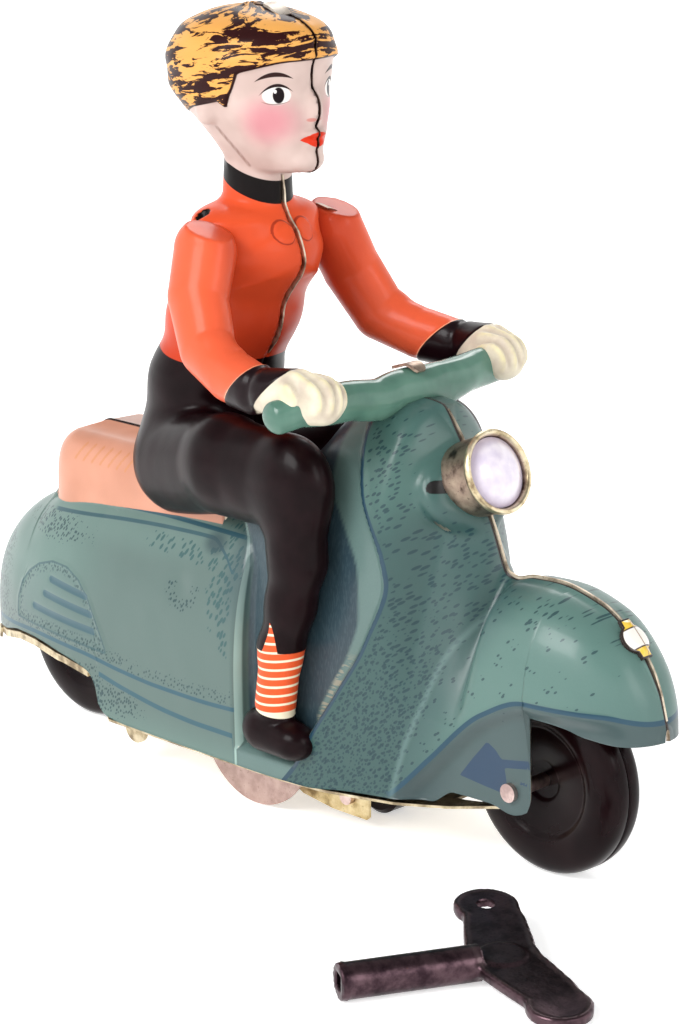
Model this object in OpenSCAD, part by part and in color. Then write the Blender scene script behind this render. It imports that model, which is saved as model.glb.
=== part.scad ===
// Tin wind-up scooter with a rider.
// Frame: +X to the front wheel, +Y to the rider's left, +Z up, millimetres.
// The origin is on the ground, on the centre plane, midway between the two axles.

/* [Wheels] */
// Radius of both running wheels
wheel_r = 17.5; // [17:0.1:18]
// Width of both running wheels
wheel_w = 9; // [8:0.5:10]
// Distance between the two axles
wheelbase = 126; // [125:0.5:127]
// Radius of the wheel axles
axle_r = 1.3; // [1.1:0.1:1.4]
// Radius of the two stabiliser discs
disc_r = 14.87; // [14.5:0.01:14.9]
// Distance of each stabiliser disc from the centre plane
disc_y = 14.4; // [14:0.1:14.5]
// Radius of the little pilot wheel under the nose
pilot_r = 5.4; // [5:0.1:5.45]

/* [Body pressing] */
// Rearmost point of the body
tail_x = -88; // [-89:0.5:-87]
// Foremost point of the mudguard
nose_x = 88.8; // [88:0.1:90]
// Greatest half width of the rear cowl and sills
body_half_w = 20.5; // [20:0.25:21]
// Half width of the leg recess
recess_half_w = 16.4; // [16.2:0.1:16.6]
// Half width of the front mudguard
guard_half_w = 14.2; // [14:0.1:15]
// Half width of the seat
seat_half_w = 13; // [12:0.5:13.5]
// Thickness of the pressed tin
tin = 0.5; // [0.4:0.05:0.6]

/* [Handlebar and lamp] */
// Half span of the handlebar
bar_half_span = 30.6; // [30:0.1:31]
// Outer radius of the headlamp ring
lamp_r = 7.55; // [7:0.05:8]
// Upward tilt of the headlamp in degrees
lamp_tilt = 21.8; // [18:0.2:25]

/* [Motor] */
// Half distance between the outer faces of the motor plates
plate_y = 8.4; // [8.4:0.1:8.8]
// Thickness of the motor plates
plate_t = 0.8; // [0.6:0.1:0.8]
// Radius of the winding arbor
arbor_r = 1.8; // [1.6:0.1:2]
// Radial clearance of every running shaft
run = 0.05; // [0.03:0.01:0.08]

/* [Winding key] */
// Outside radius of the key's tube
key_tube_r = 3.1; // [3:0.05:3.3]
// Thickness of the key's bow
key_bow_t = 2; // [1.8:0.1:2.2]
// Side of the square on the arbor
square = 2.5; // [2.3:0.1:2.5]

/* [Hidden] */
$fn = 48;
eps = 0.02;

// ---------------------------------------------------------------- smooth curves
function clamp01(t) = min(max(t, 0), 1);
function smooth(t) = let(c = clamp01(t)) c * c * (3 - 2 * c);
function chord(p, i) = (p[i + 1][1] - p[i][1]) / (p[i + 1][0] - p[i][0]);
// Slope at knot i that keeps the curve from overshooting
function knot_slope(p, i) =
  i == 0 ? chord(p, 0) :
  i == len(p) - 1 ? chord(p, i - 1) :
  let(a = chord(p, i - 1), b = chord(p, i)) a * b <= 0 ? 0 : 2 * a * b / (a + b);
function segment(p, x, i = 0) = i >= len(p) - 2 || x < p[i + 1][0] ? i : segment(p, x, i + 1);
// Smooth curve through the knots p = [[x, value], ...]
function curve(p, x) =
  let(i = segment(p, x), h = p[i + 1][0] - p[i][0], t = clamp01((x - p[i][0]) / h),
      a = knot_slope(p, i) * h, b = knot_slope(p, i + 1) * h, t2 = t * t, t3 = t2 * t)
  p[i][1] * (2 * t3 - 3 * t2 + 1) + a * (t3 - 2 * t2 + t) + p[i + 1][1] * (3 * t2 - 2 * t3) + b * (t3 - t2);
// Quarter of a superellipse: 1 at t = 0, 0 at t = 1
function dome(t, n) = let(c = clamp01(t)) pow(1 - pow(c, n), 1 / n);

// ---------------------------------------------------------------- body outline
// Height of the body on the centre plane
top_knots = [[tail_x, 19.6], [-87, 26], [-83.5, 34.5], [-78, 41], [-72, 45.3], [-64.2, 49], [-63.4, 55],
  [-60.5, 60.6], [-56, 62.6], [-9, 62.6], [0, 65], [8.7, 68.7], [13.8, 73.3], [18, 77.5], [24, 80],
  [32, 81.2], [36, 80.8], [39.7, 76.2], [48.4, 59.8], [51.7, 52.6], [54, 51.9], [58, 52.9], [64, 53.2],
  [74, 51.2], [82.6, 45], [86.9, 38.4], [nose_x, 32.2]];
// Height of the cowl if there were no seat on it
cowl_knots = [[tail_x, 19.6], [-87, 26], [-83.5, 34.5], [-78, 41], [-72, 45.3], [-64, 49], [-57, 52.5],
  [-45, 54.5], [-11, 57.5], [2, 58]];
// Lower edge of the two pressings
edge_knots = [[tail_x, 17], [-83.5, 17.5], [-75, 18.6], [-67, 20.6], [-60, 21], [-50, 20], [-42, 18.4],
  [-39.6, 16], [-38.6, 12], [-36, 10.2], [-30, 9.7], [18, 9.5], [29, 10.8], [38, 11.4], [45, 11.6],
  [50, 14.3], [58, 14.2], [63, 13.3], [66.5, 14.4], [67.5, 17], [67.6, 32.2], [70.8, 32], [74.4, 31.4],
  [78, 30.3], [84.6, 29.8], [nose_x, 30]];
// Half width of the middle of the body, seen from above
side_knots = [[-42, body_half_w], [5, body_half_w], [20, 19.6], [30, 18.3], [38, 17], [46, 15.6],
  [55, 14.6], [62, guard_half_w]];
tail_from = -42;
nose_from = 62;
// Front edge of the rear cowl, and rear edge of the legshield, against height
cowl_edge_knots = [[9, 1.5], [46, 1.5], [51, 0], [55, -4.5], [58, -11]];
shield_edge_knots = [[9, 12], [14.3, 16.4], [18.9, 19.2], [29.1, 26], [40, 32.7], [50, 36], [55.3, 34.9],
  [65.3, 29.6], [70.5, 27.9], [80, 25]];
// The mudguard's lower crease
crease_knots = [[38, 12], [40.3, 14], [46.2, 20], [58.5, 31.3], [68, 35.2], [81.8, 35], [nose_x, 33.5]];
sill_z = 13.4;
// Level above which the cowl's side starts to curve inwards
cowl_foot = 18.4;
// Depth of the mudguard's lower crease, and of the step behind the legshield's rolled edge
crease_depth = 2.6;
rolled_edge = 1.3;
// Middle of the round boss that the headlamp sits on
lamp_seat = [46, 68.5];
// Just under 1, so that the tail and the nose end in a narrow flat instead of a knife edge
blunt = 0.999;

function plan_half_w(x) =
  x < tail_from ? body_half_w * dome(blunt * (tail_from - x) / (tail_from - tail_x), 2) :
  x > nose_from ? guard_half_w * dome(blunt * (x - nose_from) / (nose_x - nose_from), 2) :
  curve(side_knots, x);
// One vertical section: straight flank up to the shoulder, then a dome to the crown
function section(z, shoulder, crown, n) =
  z <= shoulder ? 1 : z >= crown ? 0 : dome((z - shoulder) / (crown - shoulder), n);
function cowl_y(x, z) =
  let(crown = curve(cowl_knots, x), low = max(curve(edge_knots, x), cowl_foot))
  plan_half_w(x) * section(z, low + 0.1 * (crown - low), crown, 2.5);
function seat_y(x, z) =
  x > -9 || x < -64.2 ? 0 :
  seat_half_w * dome((-52 - x) / 12.3, 2.5) * section(z, 44, curve(top_knots, x), 5);
// How sharply the column's front narrows to the seam: 1 is a ridge, 0 is round, as it is behind the lamp
function ridge(x, z) =
  smooth((x - 34) / 8) * smooth((57 - x) / 5) * (1 - smooth(1.5 - norm([x, z] - lamp_seat) / 7));
function shield_y(x, z) =
  let(crown = curve(top_knots, x), low = curve(edge_knots, x))
  plan_half_w(x) * section(z, min(28, low + 0.35 * (crown - low)), crown, 2.5 - 1.4 * ridge(x, z))
  - crease_depth * smooth((curve(crease_knots, x) - z) / 4) * smooth((x - 38) / 6)
    * smooth((nose_x - x) / 12);
function recess_y(x, z) =
  min(recess_half_w * section(z, 14, curve(top_knots, x), 3), x > 8 ? shield_y(x, z) - rolled_edge : 99);
// Share of the raised skin, 1 on cowl, sill and legshield, 0 in the leg recess
function raised(x, z) =
  max(smooth((curve(cowl_edge_knots, z) - x) / 1.6 + 0.5), smooth((sill_z - z) / 1.4 + 0.5),
      smooth((x - curve(shield_edge_knots, z)) / 1.6 + 0.5));
// Half width of the body at any place on its side view
function body_y(x, z) =
  let(skin = x < 8 ? cowl_y(x, z) : shield_y(x, z), r = recess_y(x, z))
  max(x < -12 || x > 40 ? skin : r + (skin - r) * raised(x, z), seat_y(x, z), 0);

// ---------------------------------------------------------------- body pressing
stations = concat(
  [for (k = [0 : 4]) tail_x + 10 * (1 - cos(18 * k))],
  [for (x = [-75 : 3.6 : -65]) x], [-64.25, -63.4, -61.5, -59, -55, -49, -43, -40.5, -39.1, -38.2, -36.5],
  [for (x = [-33 : 6 : -13]) x], [-9.1, -8.9, -5, -1.5, 0, 1.2, 2.6, 5, 8, 12, 16, 19],
  [for (x = [22 : 2.6 : 50]) x], [51.7, 53.5, 56, 59, 62, 64.5, 66.6, 67.45, 67.6, 70, 73, 76.5],
  [for (k = [4 : -1 : 0]) nose_x - 9 * (1 - cos(20 * k))]);
rows = 15;
function row_share(j) = 0.45 * j / rows + 0.55 * sin(90 * j / rows);
// Skin of the pressing, moved inwards by g
function skin_grid(g) =
  let(mid = (tail_x + nose_x) / 2, half = (nose_x - tail_x) / 2)
  [for (x0 = stations)
    let(x = mid + (x0 - mid) * (1 - g / half), low = curve(edge_knots, x0), crown = curve(top_knots, x0))
    [for (j = [0 : rows])
      let(s = row_share(j), y = body_y(x0, low + (crown - low) * s) - g)
      [x, j == rows ? 0 : max(y, 0.12), low + (crown - 1.2 * g - low) * s]]];
function quads(n, m, at, flip) =
  [for (i = [0 : n - 2], j = [0 : m - 2])
    let(a = at + i * m + j, b = a + 1, c = a + m + 1, d = a + m)
    each flip ? [[a, b, c], [a, c, d]] : [[a, c, b], [a, d, c]]];
function strip(a, b, flip) =
  [for (k = [0 : len(a) - 2])
    each flip ? [[a[k], b[k], b[k + 1]], [a[k], b[k + 1], a[k + 1]]]
              : [[a[k], b[k + 1], b[k]], [a[k], a[k + 1], b[k + 1]]]];
// Faces of a closed shell: n rows of m outer points, then as many inner points
function closed_faces(n, m) =
  let(k = n * m,
      low = [for (i = [0 : n - 1]) i * m],
      top = [for (i = [0 : n - 1]) i * m + m - 1],
      rear = [for (j = [0 : m - 1]) j],
      front = [for (j = [0 : m - 1]) (n - 1) * m + j])
  concat(quads(n, m, 0, false), quads(n, m, k, true),
    strip(low, [for (i = low) i + k], true), strip(top, [for (i = top) i + k], false),
    strip(rear, [for (i = rear) i + k], false), strip(front, [for (i = front) i + k], true));
// Closed half body from the centre plane out to the skin, grown by g
module half_body(g) {
  outer = [for (r = skin_grid(-g)) each r];
  inner = [for (p = outer) [p[0], -1, p[2]]];
  polyhedron(concat(outer, inner), closed_faces(len(stations), rows + 1));
}
// One pressed half of the body, left side, open at the bottom and along the seam
module half_shell() {
  skin = [for (g = [0, tin]) each [for (r = skin_grid(g)) each [for (p = r) [p[0], p[1] + eps, p[2]]]]];
  polyhedron(skin, closed_faces(len(stations), rows + 1));
}
module body_shell_left() {
  color([0.40, 0.55, 0.53])
    difference() {
      half_shell();
      along_y(arbor[0], 12, arbor[1], 12, 3.1);
    }
}
module body_shell_right() {
  color([0.40, 0.55, 0.53]) mirror([0, 1, 0]) half_shell();
}

// ---------------------------------------------------------------- helpers
// Cylinder along +Y from y0, of the given length
module along_y(x, y0, z, length, r) {
  translate([x, y0, z]) rotate([-90, 0, 0]) cylinder(h = length, r = r);
}
// Shape drawn with X and Z as its axes, from y0 over the given thickness towards +Y
module side_plate(y0, thickness) {
  translate([0, y0 + thickness, 0]) rotate([90, 0, 0]) linear_extrude(thickness) children();
}
// Rounded rod through a list of [x, y, z, rx, ry, rz]
module knob(p, g) {
  facets = g < 0 ? 10 : 16;
  translate([p[0], p[1], p[2]]) scale([p[3] + g, p[4] + g, p[5] + g]) sphere(r = 1, $fn = facets);
}
module limb(points, g) {
  for (i = [0 : len(points) - 2])
    hull() {
      knob(points[i], g);
      knob(points[i + 1], g);
    }
}

// ---------------------------------------------------------------- base plate
floor_z = 9.2;
floor_from = -37;
plate_line = [[tail_x + 0.6, 16.4], [-83.5, 17], [-75, 18.1], [-67, 20], [-60, 20.4], [-50, 19.4],
  [-42.4, 17.8], [-41, 16.6], [floor_from, floor_z], [36, floor_z], [46, floor_z + 0.8],
  [57, floor_z + 2.6]];
// Side view of the sheet along that line, t thick
function sheet(t) = concat(plate_line, [for (i = [len(plate_line) - 1 : -1 : 0]) plate_line[i] - [0, t]]);
plate_plan_x = concat([for (k = [0 : 8]) tail_x + 0.2 + 45 * (1 - cos(11.25 * k))],
  [-20, 0, 12, 22, 30, 38]);
function plate_half_w(x) =
  plan_half_w(max(x, tail_x + 0.05)) - (x < -44 ? 0.1 : 1.1) - (x > 20 ? 0.16 * (x - 20) : 0);
module plate_plan(inset) {
  side = [for (x = plate_plan_x) [x + (x < -80 ? inset : 0), max(plate_half_w(x) - inset, 0.2)]];
  far = [for (i = [len(side) - 1 : -1 : 0]) [side[i][0], -side[i][1]]];
  nose = [[46, 10], [57, 6], [57, -6], [46, -10]];
  polygon(concat(side, nose, far));
}
module base_plate() {
  color([0.80, 0.72, 0.58]) {
    difference() {
      intersection() {
        side_plate(-25, 50) polygon(sheet(tin));
        translate([0, 0, 5]) linear_extrude(18) plate_plan(0);
      }
      // opening for the rear wheel and the motor
      translate([-82, -9.4, 5]) cube([44, 18.8, 18]);
      // slots for the stabiliser discs
      for (s = [-1, 1]) translate([-15, s * disc_y - 0.9, 5]) cube([30, 1.8, 10]);
      // slot for the stop lever
      translate([-41, -16.2, 5]) cube([14, 2, 15]);
      // opening over the pilot wheel
      translate([13.4, -6.2, 5]) cube([14.4, 12.4, 15]);
      // hole for the pilot rivet
      translate([pilot_x, 0, 5]) cylinder(h = 10, r = rivet_r);
      // opening for the front wheel
      translate([44, -5.4, 5]) cube([15, 10.8, 15]);
    }
    // down-turned rim round the tail
    intersection() {
      side_plate(-25, 50) polygon(sheet(1.4));
      difference() {
        translate([0, 0, 5]) linear_extrude(18) plate_plan(0);
        translate([0, 0, 4]) linear_extrude(20) plate_plan(0.7);
      }
      translate([tail_x - 1, -25, 5]) cube([46, 50, 20]);
    }
    // bearing lugs of the stabiliser axle
    for (s = [-1, 1])
      difference() {
        translate([-3, s * 11.2 - 0.4, floor_z - 0.2]) cube([6, 0.8, 9.2]);
        along_y(0, s * 11.2 - 1, stab_z, 2, axle_r + run);
      }
    // bearing ear of the stop lever
    translate([stop_x - 2.5, -13.2, floor_z - 0.2]) cube([5, 0.6, 6.5]);
  }
}

// ---------------------------------------------------------------- trim
module mudguard_crest() {
  color([0.92, 0.9, 0.82])
    translate([81.6, 0, 46.5]) rotate([0, 46, 0]) translate([0, 0, 0.25])
      linear_extrude(0.6)
        union() {
          circle(r = 2.5, $fn = 32);
          translate([-3.2, -1.6]) square([6.4, 3.2]);
        }
}
lamp_pos = [49.9, 0, 70.8];
lamp_depth = 8;
lens_r = lamp_r - 1.3;
// Point on the front line of the column behind the lamp, its lean and its radius there
column_front = [44.2, 0, 68];
column_lean = -28;
column_r = 18;
module lamp_frame() {
  translate(lamp_pos) rotate([0, 90 - lamp_tilt, 0]) children();
}
module headlamp_cup() {
  color([0.62, 0.57, 0.5])
    difference() {
      lamp_frame()
        rotate_extrude()
          polygon([[lamp_r, 0], [lamp_r, -1.2], [lamp_r - 0.4, -1.8], [lamp_r - 0.6, -lamp_depth],
            [lamp_r - 1.2, -lamp_depth], [lamp_r - 1.2, -4.6], [2, -4.4], [2, -3.9], [lamp_r - 1.3, -3.9],
            [lamp_r - 1.2, -1.2], [lamp_r - 1.2, 0]]);
      // the barrel is trimmed to the round front of the column
      translate(column_front) rotate([0, column_lean, 0]) translate([-column_r, 0, -20])
        cylinder(h = 40, r = column_r);
    }
}
module headlamp_lens() {
  color([0.86, 0.84, 0.9])
    lamp_frame()
      rotate_extrude()
        polygon(concat([[0, -1.1], [lens_r, -1.1]],
          [for (k = [4 : -1 : 0]) let(r = lens_r * k / 4) [r, -0.5 + 0.9 * (1 - pow(r / lens_r, 2))]]));
}
// Handlebar: half of its rounded rod, from the middle to the grip end
bar_half = [[28, 0, 82, 3.8, 4, 4.2], [28, 8, 81.6, 3.6, 4, 4.2], [27.4, 14, 82.4, 3.4, 4, 3.6],
  [27, 20, 82.6, 3.2, 3, 3.6], [26.7, 26, 82.6, 2.6, 2.4, 3],
  [24.2, bar_half_span - 1.6, 81.6, 3.4, 1.6, 3]];
module bar_rod(g) {
  for (s = [0, 1]) mirror([0, s, 0]) limb(bar_half, g);
}
module handlebar() {
  color([0.45, 0.65, 0.55])
    difference() {
      bar_rod(0);
      bar_rod(-tin - 0.1);
      for (s = [0, 1]) mirror([0, s, 0]) half_body(0.12);
    }
}
module handlebar_clip() {
  color([0.7, 0.66, 0.6]) translate([24.5, -1.6, 86.35]) cube([6, 3.2, 0.5]);
}

// ---------------------------------------------------------------- rider
torso = [[-27, -2, 63, 13.5, 12, 11.5], [-24.3, 0, 77, 11.6, 12.6, 8.5], [-18.6, 0, 90, 11.8, 12.4, 8],
  [-12.5, 0, 103, 12.6, 13.5, 8], [-12, -3, 109, 8.5, 10.5, 3.5]];
neck = [[-11.4, 0, 108, 7, 6, 4], [-10.6, 0, 118, 6.4, 6, 4]];
head = [[-8, 0, 124.6, 12, 9.5, 6.5], [-12.2, 0, 135.4, 16.6, 13.6, 12.6]];
leg = [[-24, -9, 61, 11, 9, 10], [-3, -16.5, 66, 9, 7.4, 9.4], [17.2, -19.4, 65.6, 9, 5.6, 9.8],
  [18.8, -20, 53, 6, 4.6, 6], [16.8, -20, 44, 4.8, 4.4, 5], [13.8, -20, 34.5, 4.5, 4.1, 5],
  [12, -20, 24, 4.6, 4, 4], [9.6, -20, 19, 5.2, 4, 4.4], [16.4, -20, 18.2, 4.6, 3.8, 3.4]];
module figure(g) {
  limb(torso, g);
  limb(neck, g);
  limb(head, g);
  limb(leg, g);
}
module rider_half() {
  difference() {
    figure(0);
    figure(-0.8);
    translate([-80, -eps, 0]) cube([160, 60, 200]);
    // the leg is open on its inner side
    translate([-12, -recess_half_w - 0.15, 10]) cube([50, 30, 44]);
    // the rider sits over the seat
    mirror([0, 1, 0]) half_body(0.25);
    translate([-60, -seat_half_w + 0.6, 40]) cube([50, 30, 16]);
    // flat sole
    translate([-10, -40, 0]) cube([60, 40, 14.6]);
  }
}
module rider_right_half() {
  color([0.86, 0.35, 0.2]) rider_half();
}
module rider_left_half() {
  color([0.86, 0.35, 0.2]) mirror([0, 1, 0]) rider_half();
}
arm = [[-7.6, -15.6, 105.5, 6, 4.6, 6.4], [-6.4, -19, 97, 6, 4.6, 6], [-1.6, -21.6, 88.8, 5.6, 4.4, 5.6],
  [6.5, -23.8, 85.6, 4.8, 4.2, 4.8], [14, -25, 84.6, 4, 3.8, 4.2]];
hand = [[18.6, -25.4, 84.6, 4.2, 3.6, 4.2], [25, -24.4, 84.4, 4.6, 4, 4.8], [29.6, -23, 84.6, 3.4, 4.4, 4]];
module arm_piece() {
  difference() {
    union() {
      limb(arm, 0);
      limb(hand, 0);
    }
    limb(arm, -0.8);
    bar_rod(0.12);
    limb(torso, 0.12);
    // open shoulder end
    translate([-30, -30, 109.6]) cube([40, 40, 10]);
  }
}
module right_arm() {
  color([0.86, 0.35, 0.2]) arm_piece();
}
module left_arm() {
  color([0.86, 0.35, 0.2]) mirror([0, 1, 0]) arm_piece();
}

// ---------------------------------------------------------------- running wheels
front_axle_x = wheelbase / 2;
rear_axle_x = -wheelbase / 2;
// Pressed wheel half on the left of the wheel's own centre plane
module wheel_half(x, bore) {
  h = wheel_w / 2;
  r = wheel_r;
  translate([x, 0, wheel_r]) rotate([-90, 0, 0])
    rotate_extrude($fn = 96)
      polygon([[bore, h - 1.6], [3.4, h - 1.6], [4.2, h - 1.1], [9.6, h - 1.1], [10.6, h - 0.3], [12.6, h],
        [r - 1.6, h - 0.5], [r - 0.4, h - 1.6], [r, h - 3], [r, eps], [r - tin, eps],
        [r - tin, h - 3], [r - 0.9, h - 1.9], [r - 1.9, h - 1], [12.6, h - 0.5], [10.8, h - 0.8],
        [9.8, h - 1.6], [4, h - 1.6], [3.2, h - 2.1], [bore, h - 2.1]]);
}
module axle_rod(x, z, half_length, r, head_r) {
  along_y(x, -half_length, z, 2 * half_length, r);
  for (s = [-1, 1])
    along_y(x, s > 0 ? half_length - 0.9 : -half_length, z, 0.9, head_r);
}
module front_wheel_left_half() {
  color([0.12, 0.07, 0.08]) wheel_half(front_axle_x, axle_r + run);
}
module front_wheel_right_half() {
  color([0.12, 0.07, 0.08]) mirror([0, 1, 0]) wheel_half(front_axle_x, axle_r + run);
}
module front_axle() {
  color([0.72, 0.64, 0.62]) axle_rod(front_axle_x, wheel_r, 12.5, axle_r, 1.7);
}
module rear_wheel_left_half() {
  color([0.12, 0.07, 0.08]) wheel_half(rear_axle_x, axle_r);
}
module rear_wheel_right_half() {
  color([0.12, 0.07, 0.08]) mirror([0, 1, 0]) wheel_half(rear_axle_x, axle_r);
}
module rear_axle() {
  color([0.6, 0.6, 0.6]) along_y(rear_axle_x, -9.2, wheel_r, 18.4, axle_r);
}

// ---------------------------------------------------------------- clockwork
gear_m = 0.6;
pinion_teeth = 12;
second_teeth = 62;
great_teeth = 60;
governor_teeth = 10;
function pitch_r(n) = n * gear_m / 2;
function polar(c, r, a) = [c[0] + r * cos(a), c[1] + r * sin(a)];
second_dir = 36;
great_dir = -3;
governor_dir = 80;
drive = [rear_axle_x, wheel_r];
second = polar(drive, pitch_r(pinion_teeth) + pitch_r(second_teeth), second_dir);
arbor = polar(second, pitch_r(pinion_teeth) + pitch_r(great_teeth), great_dir);
governor = polar(second, pitch_r(second_teeth) + pitch_r(governor_teeth), governor_dir);
// Angle that brings a gear's gap to the tooth of the gear it meets, dir being from driver to follower
function mesh_phase(phase, driver_n, follower_n, dir) =
  let(step = 360 / driver_n, off = (dir - phase) - step * round((dir - phase) / step))
  dir + 180 + off * driver_n / follower_n - 180 / follower_n;
drive_phase = second_dir;
second_phase = mesh_phase(drive_phase, pinion_teeth, second_teeth, second_dir);
great_phase = mesh_phase(great_dir, pinion_teeth, great_teeth, great_dir);
governor_phase = mesh_phase(second_phase, second_teeth, governor_teeth, governor_dir);
module gear_outline(n) {
  p = pitch_r(n);
  pitch = 180 * gear_m / p;
  polygon([for (k = [0 : n - 1])
    each [for (q = [[-0.27, -0.7], [-0.19, 0], [-0.08, 0.48], [0.08, 0.48], [0.19, 0], [0.27, -0.7]])
      let(a = k * 360 / n + q[0] * pitch, r = p + q[1]) [r * cos(a), r * sin(a)]]]);
}
module gear(n, centre, phase, y0, thickness, bore) {
  side_plate(y0, thickness)
    translate(centre) difference() {
      rotate(phase) gear_outline(n);
      circle(r = bore);
    }
}
module axle_pinion() {
  color([0.75, 0.62, 0.3]) gear(pinion_teeth, drive, drive_phase, 4.95, 2.25, axle_r);
}
module second_wheel() {
  color([0.78, 0.64, 0.3])
    difference() {
      gear(second_teeth, second, second_phase, 5.6, 1, 1);
      for (k = [0 : 3])
        along_y(polar(second, 10.5, 45 + 90 * k)[0], 5, polar(second, 10.5, 45 + 90 * k)[1], 3, 4.2);
    }
}
module second_pinion() {
  color([0.75, 0.62, 0.3]) gear(pinion_teeth, second, great_dir, 2.4, 2.2, 1);
}
module second_arbor() {
  color([0.6, 0.6, 0.6]) along_y(second[0], -9, second[1], 18, 1);
}
module great_wheel() {
  color([0.78, 0.64, 0.3])
    difference() {
      gear(great_teeth, arbor, great_phase, 3, 1, arbor_r + run);
      along_y(click_at[0], 2, click_at[1], 4, 0.7);
    }
}
click_dir = 62;
click_at = polar(arbor, 11.5, click_dir);
module click_stud() {
  color([0.6, 0.6, 0.6]) along_y(click_at[0], 3, click_at[1], 2.3, 0.7);
}
// The click's nose rests in a gap of the ratchet
module click() {
  color([0.55, 0.55, 0.55])
    side_plate(4.2, 0.8)
      difference() {
        union() {
          translate(click_at) circle(r = 1.7);
          polygon([click_at + [-1.5, 0], polar(arbor, 5.9, click_dir - 33),
            polar(arbor, 6.8, click_dir - 29), click_at + [1.5, 0]]);
        }
        translate(click_at) circle(r = 0.7 + run);
      }
}
module click_spring() {
  color([0.6, 0.6, 0.62])
    side_plate(4.05, 0.9)
      polygon([for (a = [0 : 8 : 80]) polar(arbor, 14.6, click_dir - 15 + a * 0.9),
        for (a = [80 : -8 : 0]) polar(arbor, 14.2, click_dir - 15 + a * 0.9)]);
}
ratchet_n = 12;
// Outline with n teeth: tips at radius r_out, the first at angle a, and roots at r_in, turned lead further
module star(n, r_out, r_in, a, lead) {
  polygon([for (k = [0 : n - 1]) each [polar([0, 0], r_out, 360 * k / n + a),
    polar([0, 0], r_in, 360 * k / n + a + lead)]]);
}
module ratchet_wheel() {
  color([0.6, 0.6, 0.6])
    side_plate(4.2, 1)
      translate(arbor) difference() {
        star(ratchet_n, 6, 4.6, 10, 3);
        circle(r = arbor_r);
      }
}
module winding_arbor() {
  color([0.6, 0.6, 0.6]) {
    along_y(arbor[0], -9.2, arbor[1], 30, arbor_r);
    translate([arbor[0] - square / 2, 20, arbor[1] - square / 2]) cube([square, 5.5, square]);
  }
}
spring_turns = 8;
spring_inner = 3.2;
spring_outer = 16.3;
spring_step = 15;
function spring_r(a) = spring_inner + (spring_outer - spring_inner) * a / (360 * spring_turns);
module mainspring() {
  color([0.35, 0.37, 0.42])
    side_plate(-6.8, 9.3)
      translate(arbor)
        polygon([for (a = [0 : spring_step : 360 * spring_turns]) spring_r(a) * [cos(a), sin(a)],
          for (a = [360 * spring_turns : -spring_step : 0]) (spring_r(a) - 0.4) * [cos(a), sin(a)]]);
}
module governor_arbor() {
  color([0.6, 0.6, 0.6]) along_y(governor[0], -9, governor[1], 18, 0.8);
}
module governor_pinion() {
  color([0.75, 0.62, 0.3]) gear(governor_teeth, governor, governor_phase, 5.1, 2, 0.8);
}
star_r = 5.4;
module governor_star() {
  color([0.75, 0.62, 0.3])
    side_plate(-1, 1)
      translate(governor) difference() {
        star(8, star_r, 2.6, 0, 22);
        circle(r = 0.8);
      }
}
verge = [governor[0] + 9, governor[1] + 1.4];
module governor_verge() {
  color([0.55, 0.55, 0.55]) {
    along_y(verge[0], -9, verge[1], 18, 0.7);
    side_plate(-1.3, 1.6)
      translate(verge) difference() {
        polygon([[1.6, -2], [1.6, 2.2], [-1, 2.4], [-3.6, 4.2], [-3.9, 3.4], [-1.8, 0.6], [-1.8, -1.6],
          [-3.6, -4.6], [-3.1, -5.1], [0, -3]]);
        circle(r = 0.6);
      }
  }
}
pillars = [[-57, 51], [-10, 47.6], [-34, 12.4], [-7.4, 13.6]];
plate_outline = [[-68.5, 13], [-58, 12], [-38.2, 10.8], [-4.8, 10.8], [-4.8, 50.5], [-12, 54.6],
  [-57.5, 54.6],
  [-60.6, 50], [-69.4, 24]];
module motor_plate() {
  side_plate(plate_y - plate_t, plate_t)
    difference() {
      polygon(plate_outline);
      translate(drive) circle(r = axle_r + run);
      translate(second) circle(r = 1 + run);
      translate(arbor) circle(r = arbor_r + run);
      translate(governor) circle(r = 0.8 + run);
      translate(verge) circle(r = 0.7 + run);
      for (p = pillars) translate(p) circle(r = 0.8);
      // windows that lighten the plate
      translate([-45.5, 18.5]) circle(r = 4);
      translate([-24, 44]) circle(r = 4);
      translate([-12, 30]) circle(r = 3.4);
    }
}
module motor_plate_left() {
  color([0.72, 0.68, 0.6]) motor_plate();
}
module motor_plate_right() {
  color([0.72, 0.68, 0.6]) mirror([0, 1, 0]) motor_plate();
}
module motor_pillars() {
  color([0.6, 0.6, 0.6])
    for (p = pillars) {
      along_y(p[0], -plate_y + plate_t, p[1], 2 * (plate_y - plate_t), 1.2);
      along_y(p[0], -plate_y - 0.5, p[1], 2 * plate_y + 1, 0.8);
    }
}
module winding_eyelet() {
  color([0.75, 0.62, 0.3])
    translate([arbor[0], 0, arbor[1]]) rotate([-90, 0, 0])
      rotate_extrude()
        polygon([[arbor_r + run, eyelet_y - 1.6], [3, eyelet_y - 1.6], [3, eyelet_y + 0.05],
          [4.2, eyelet_y + 0.05],
          [4.2, eyelet_y + 0.6], [arbor_r + run, eyelet_y + 0.6]]);
}
eyelet_y = body_y(arbor[0], arbor[1]) + eps;

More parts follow.
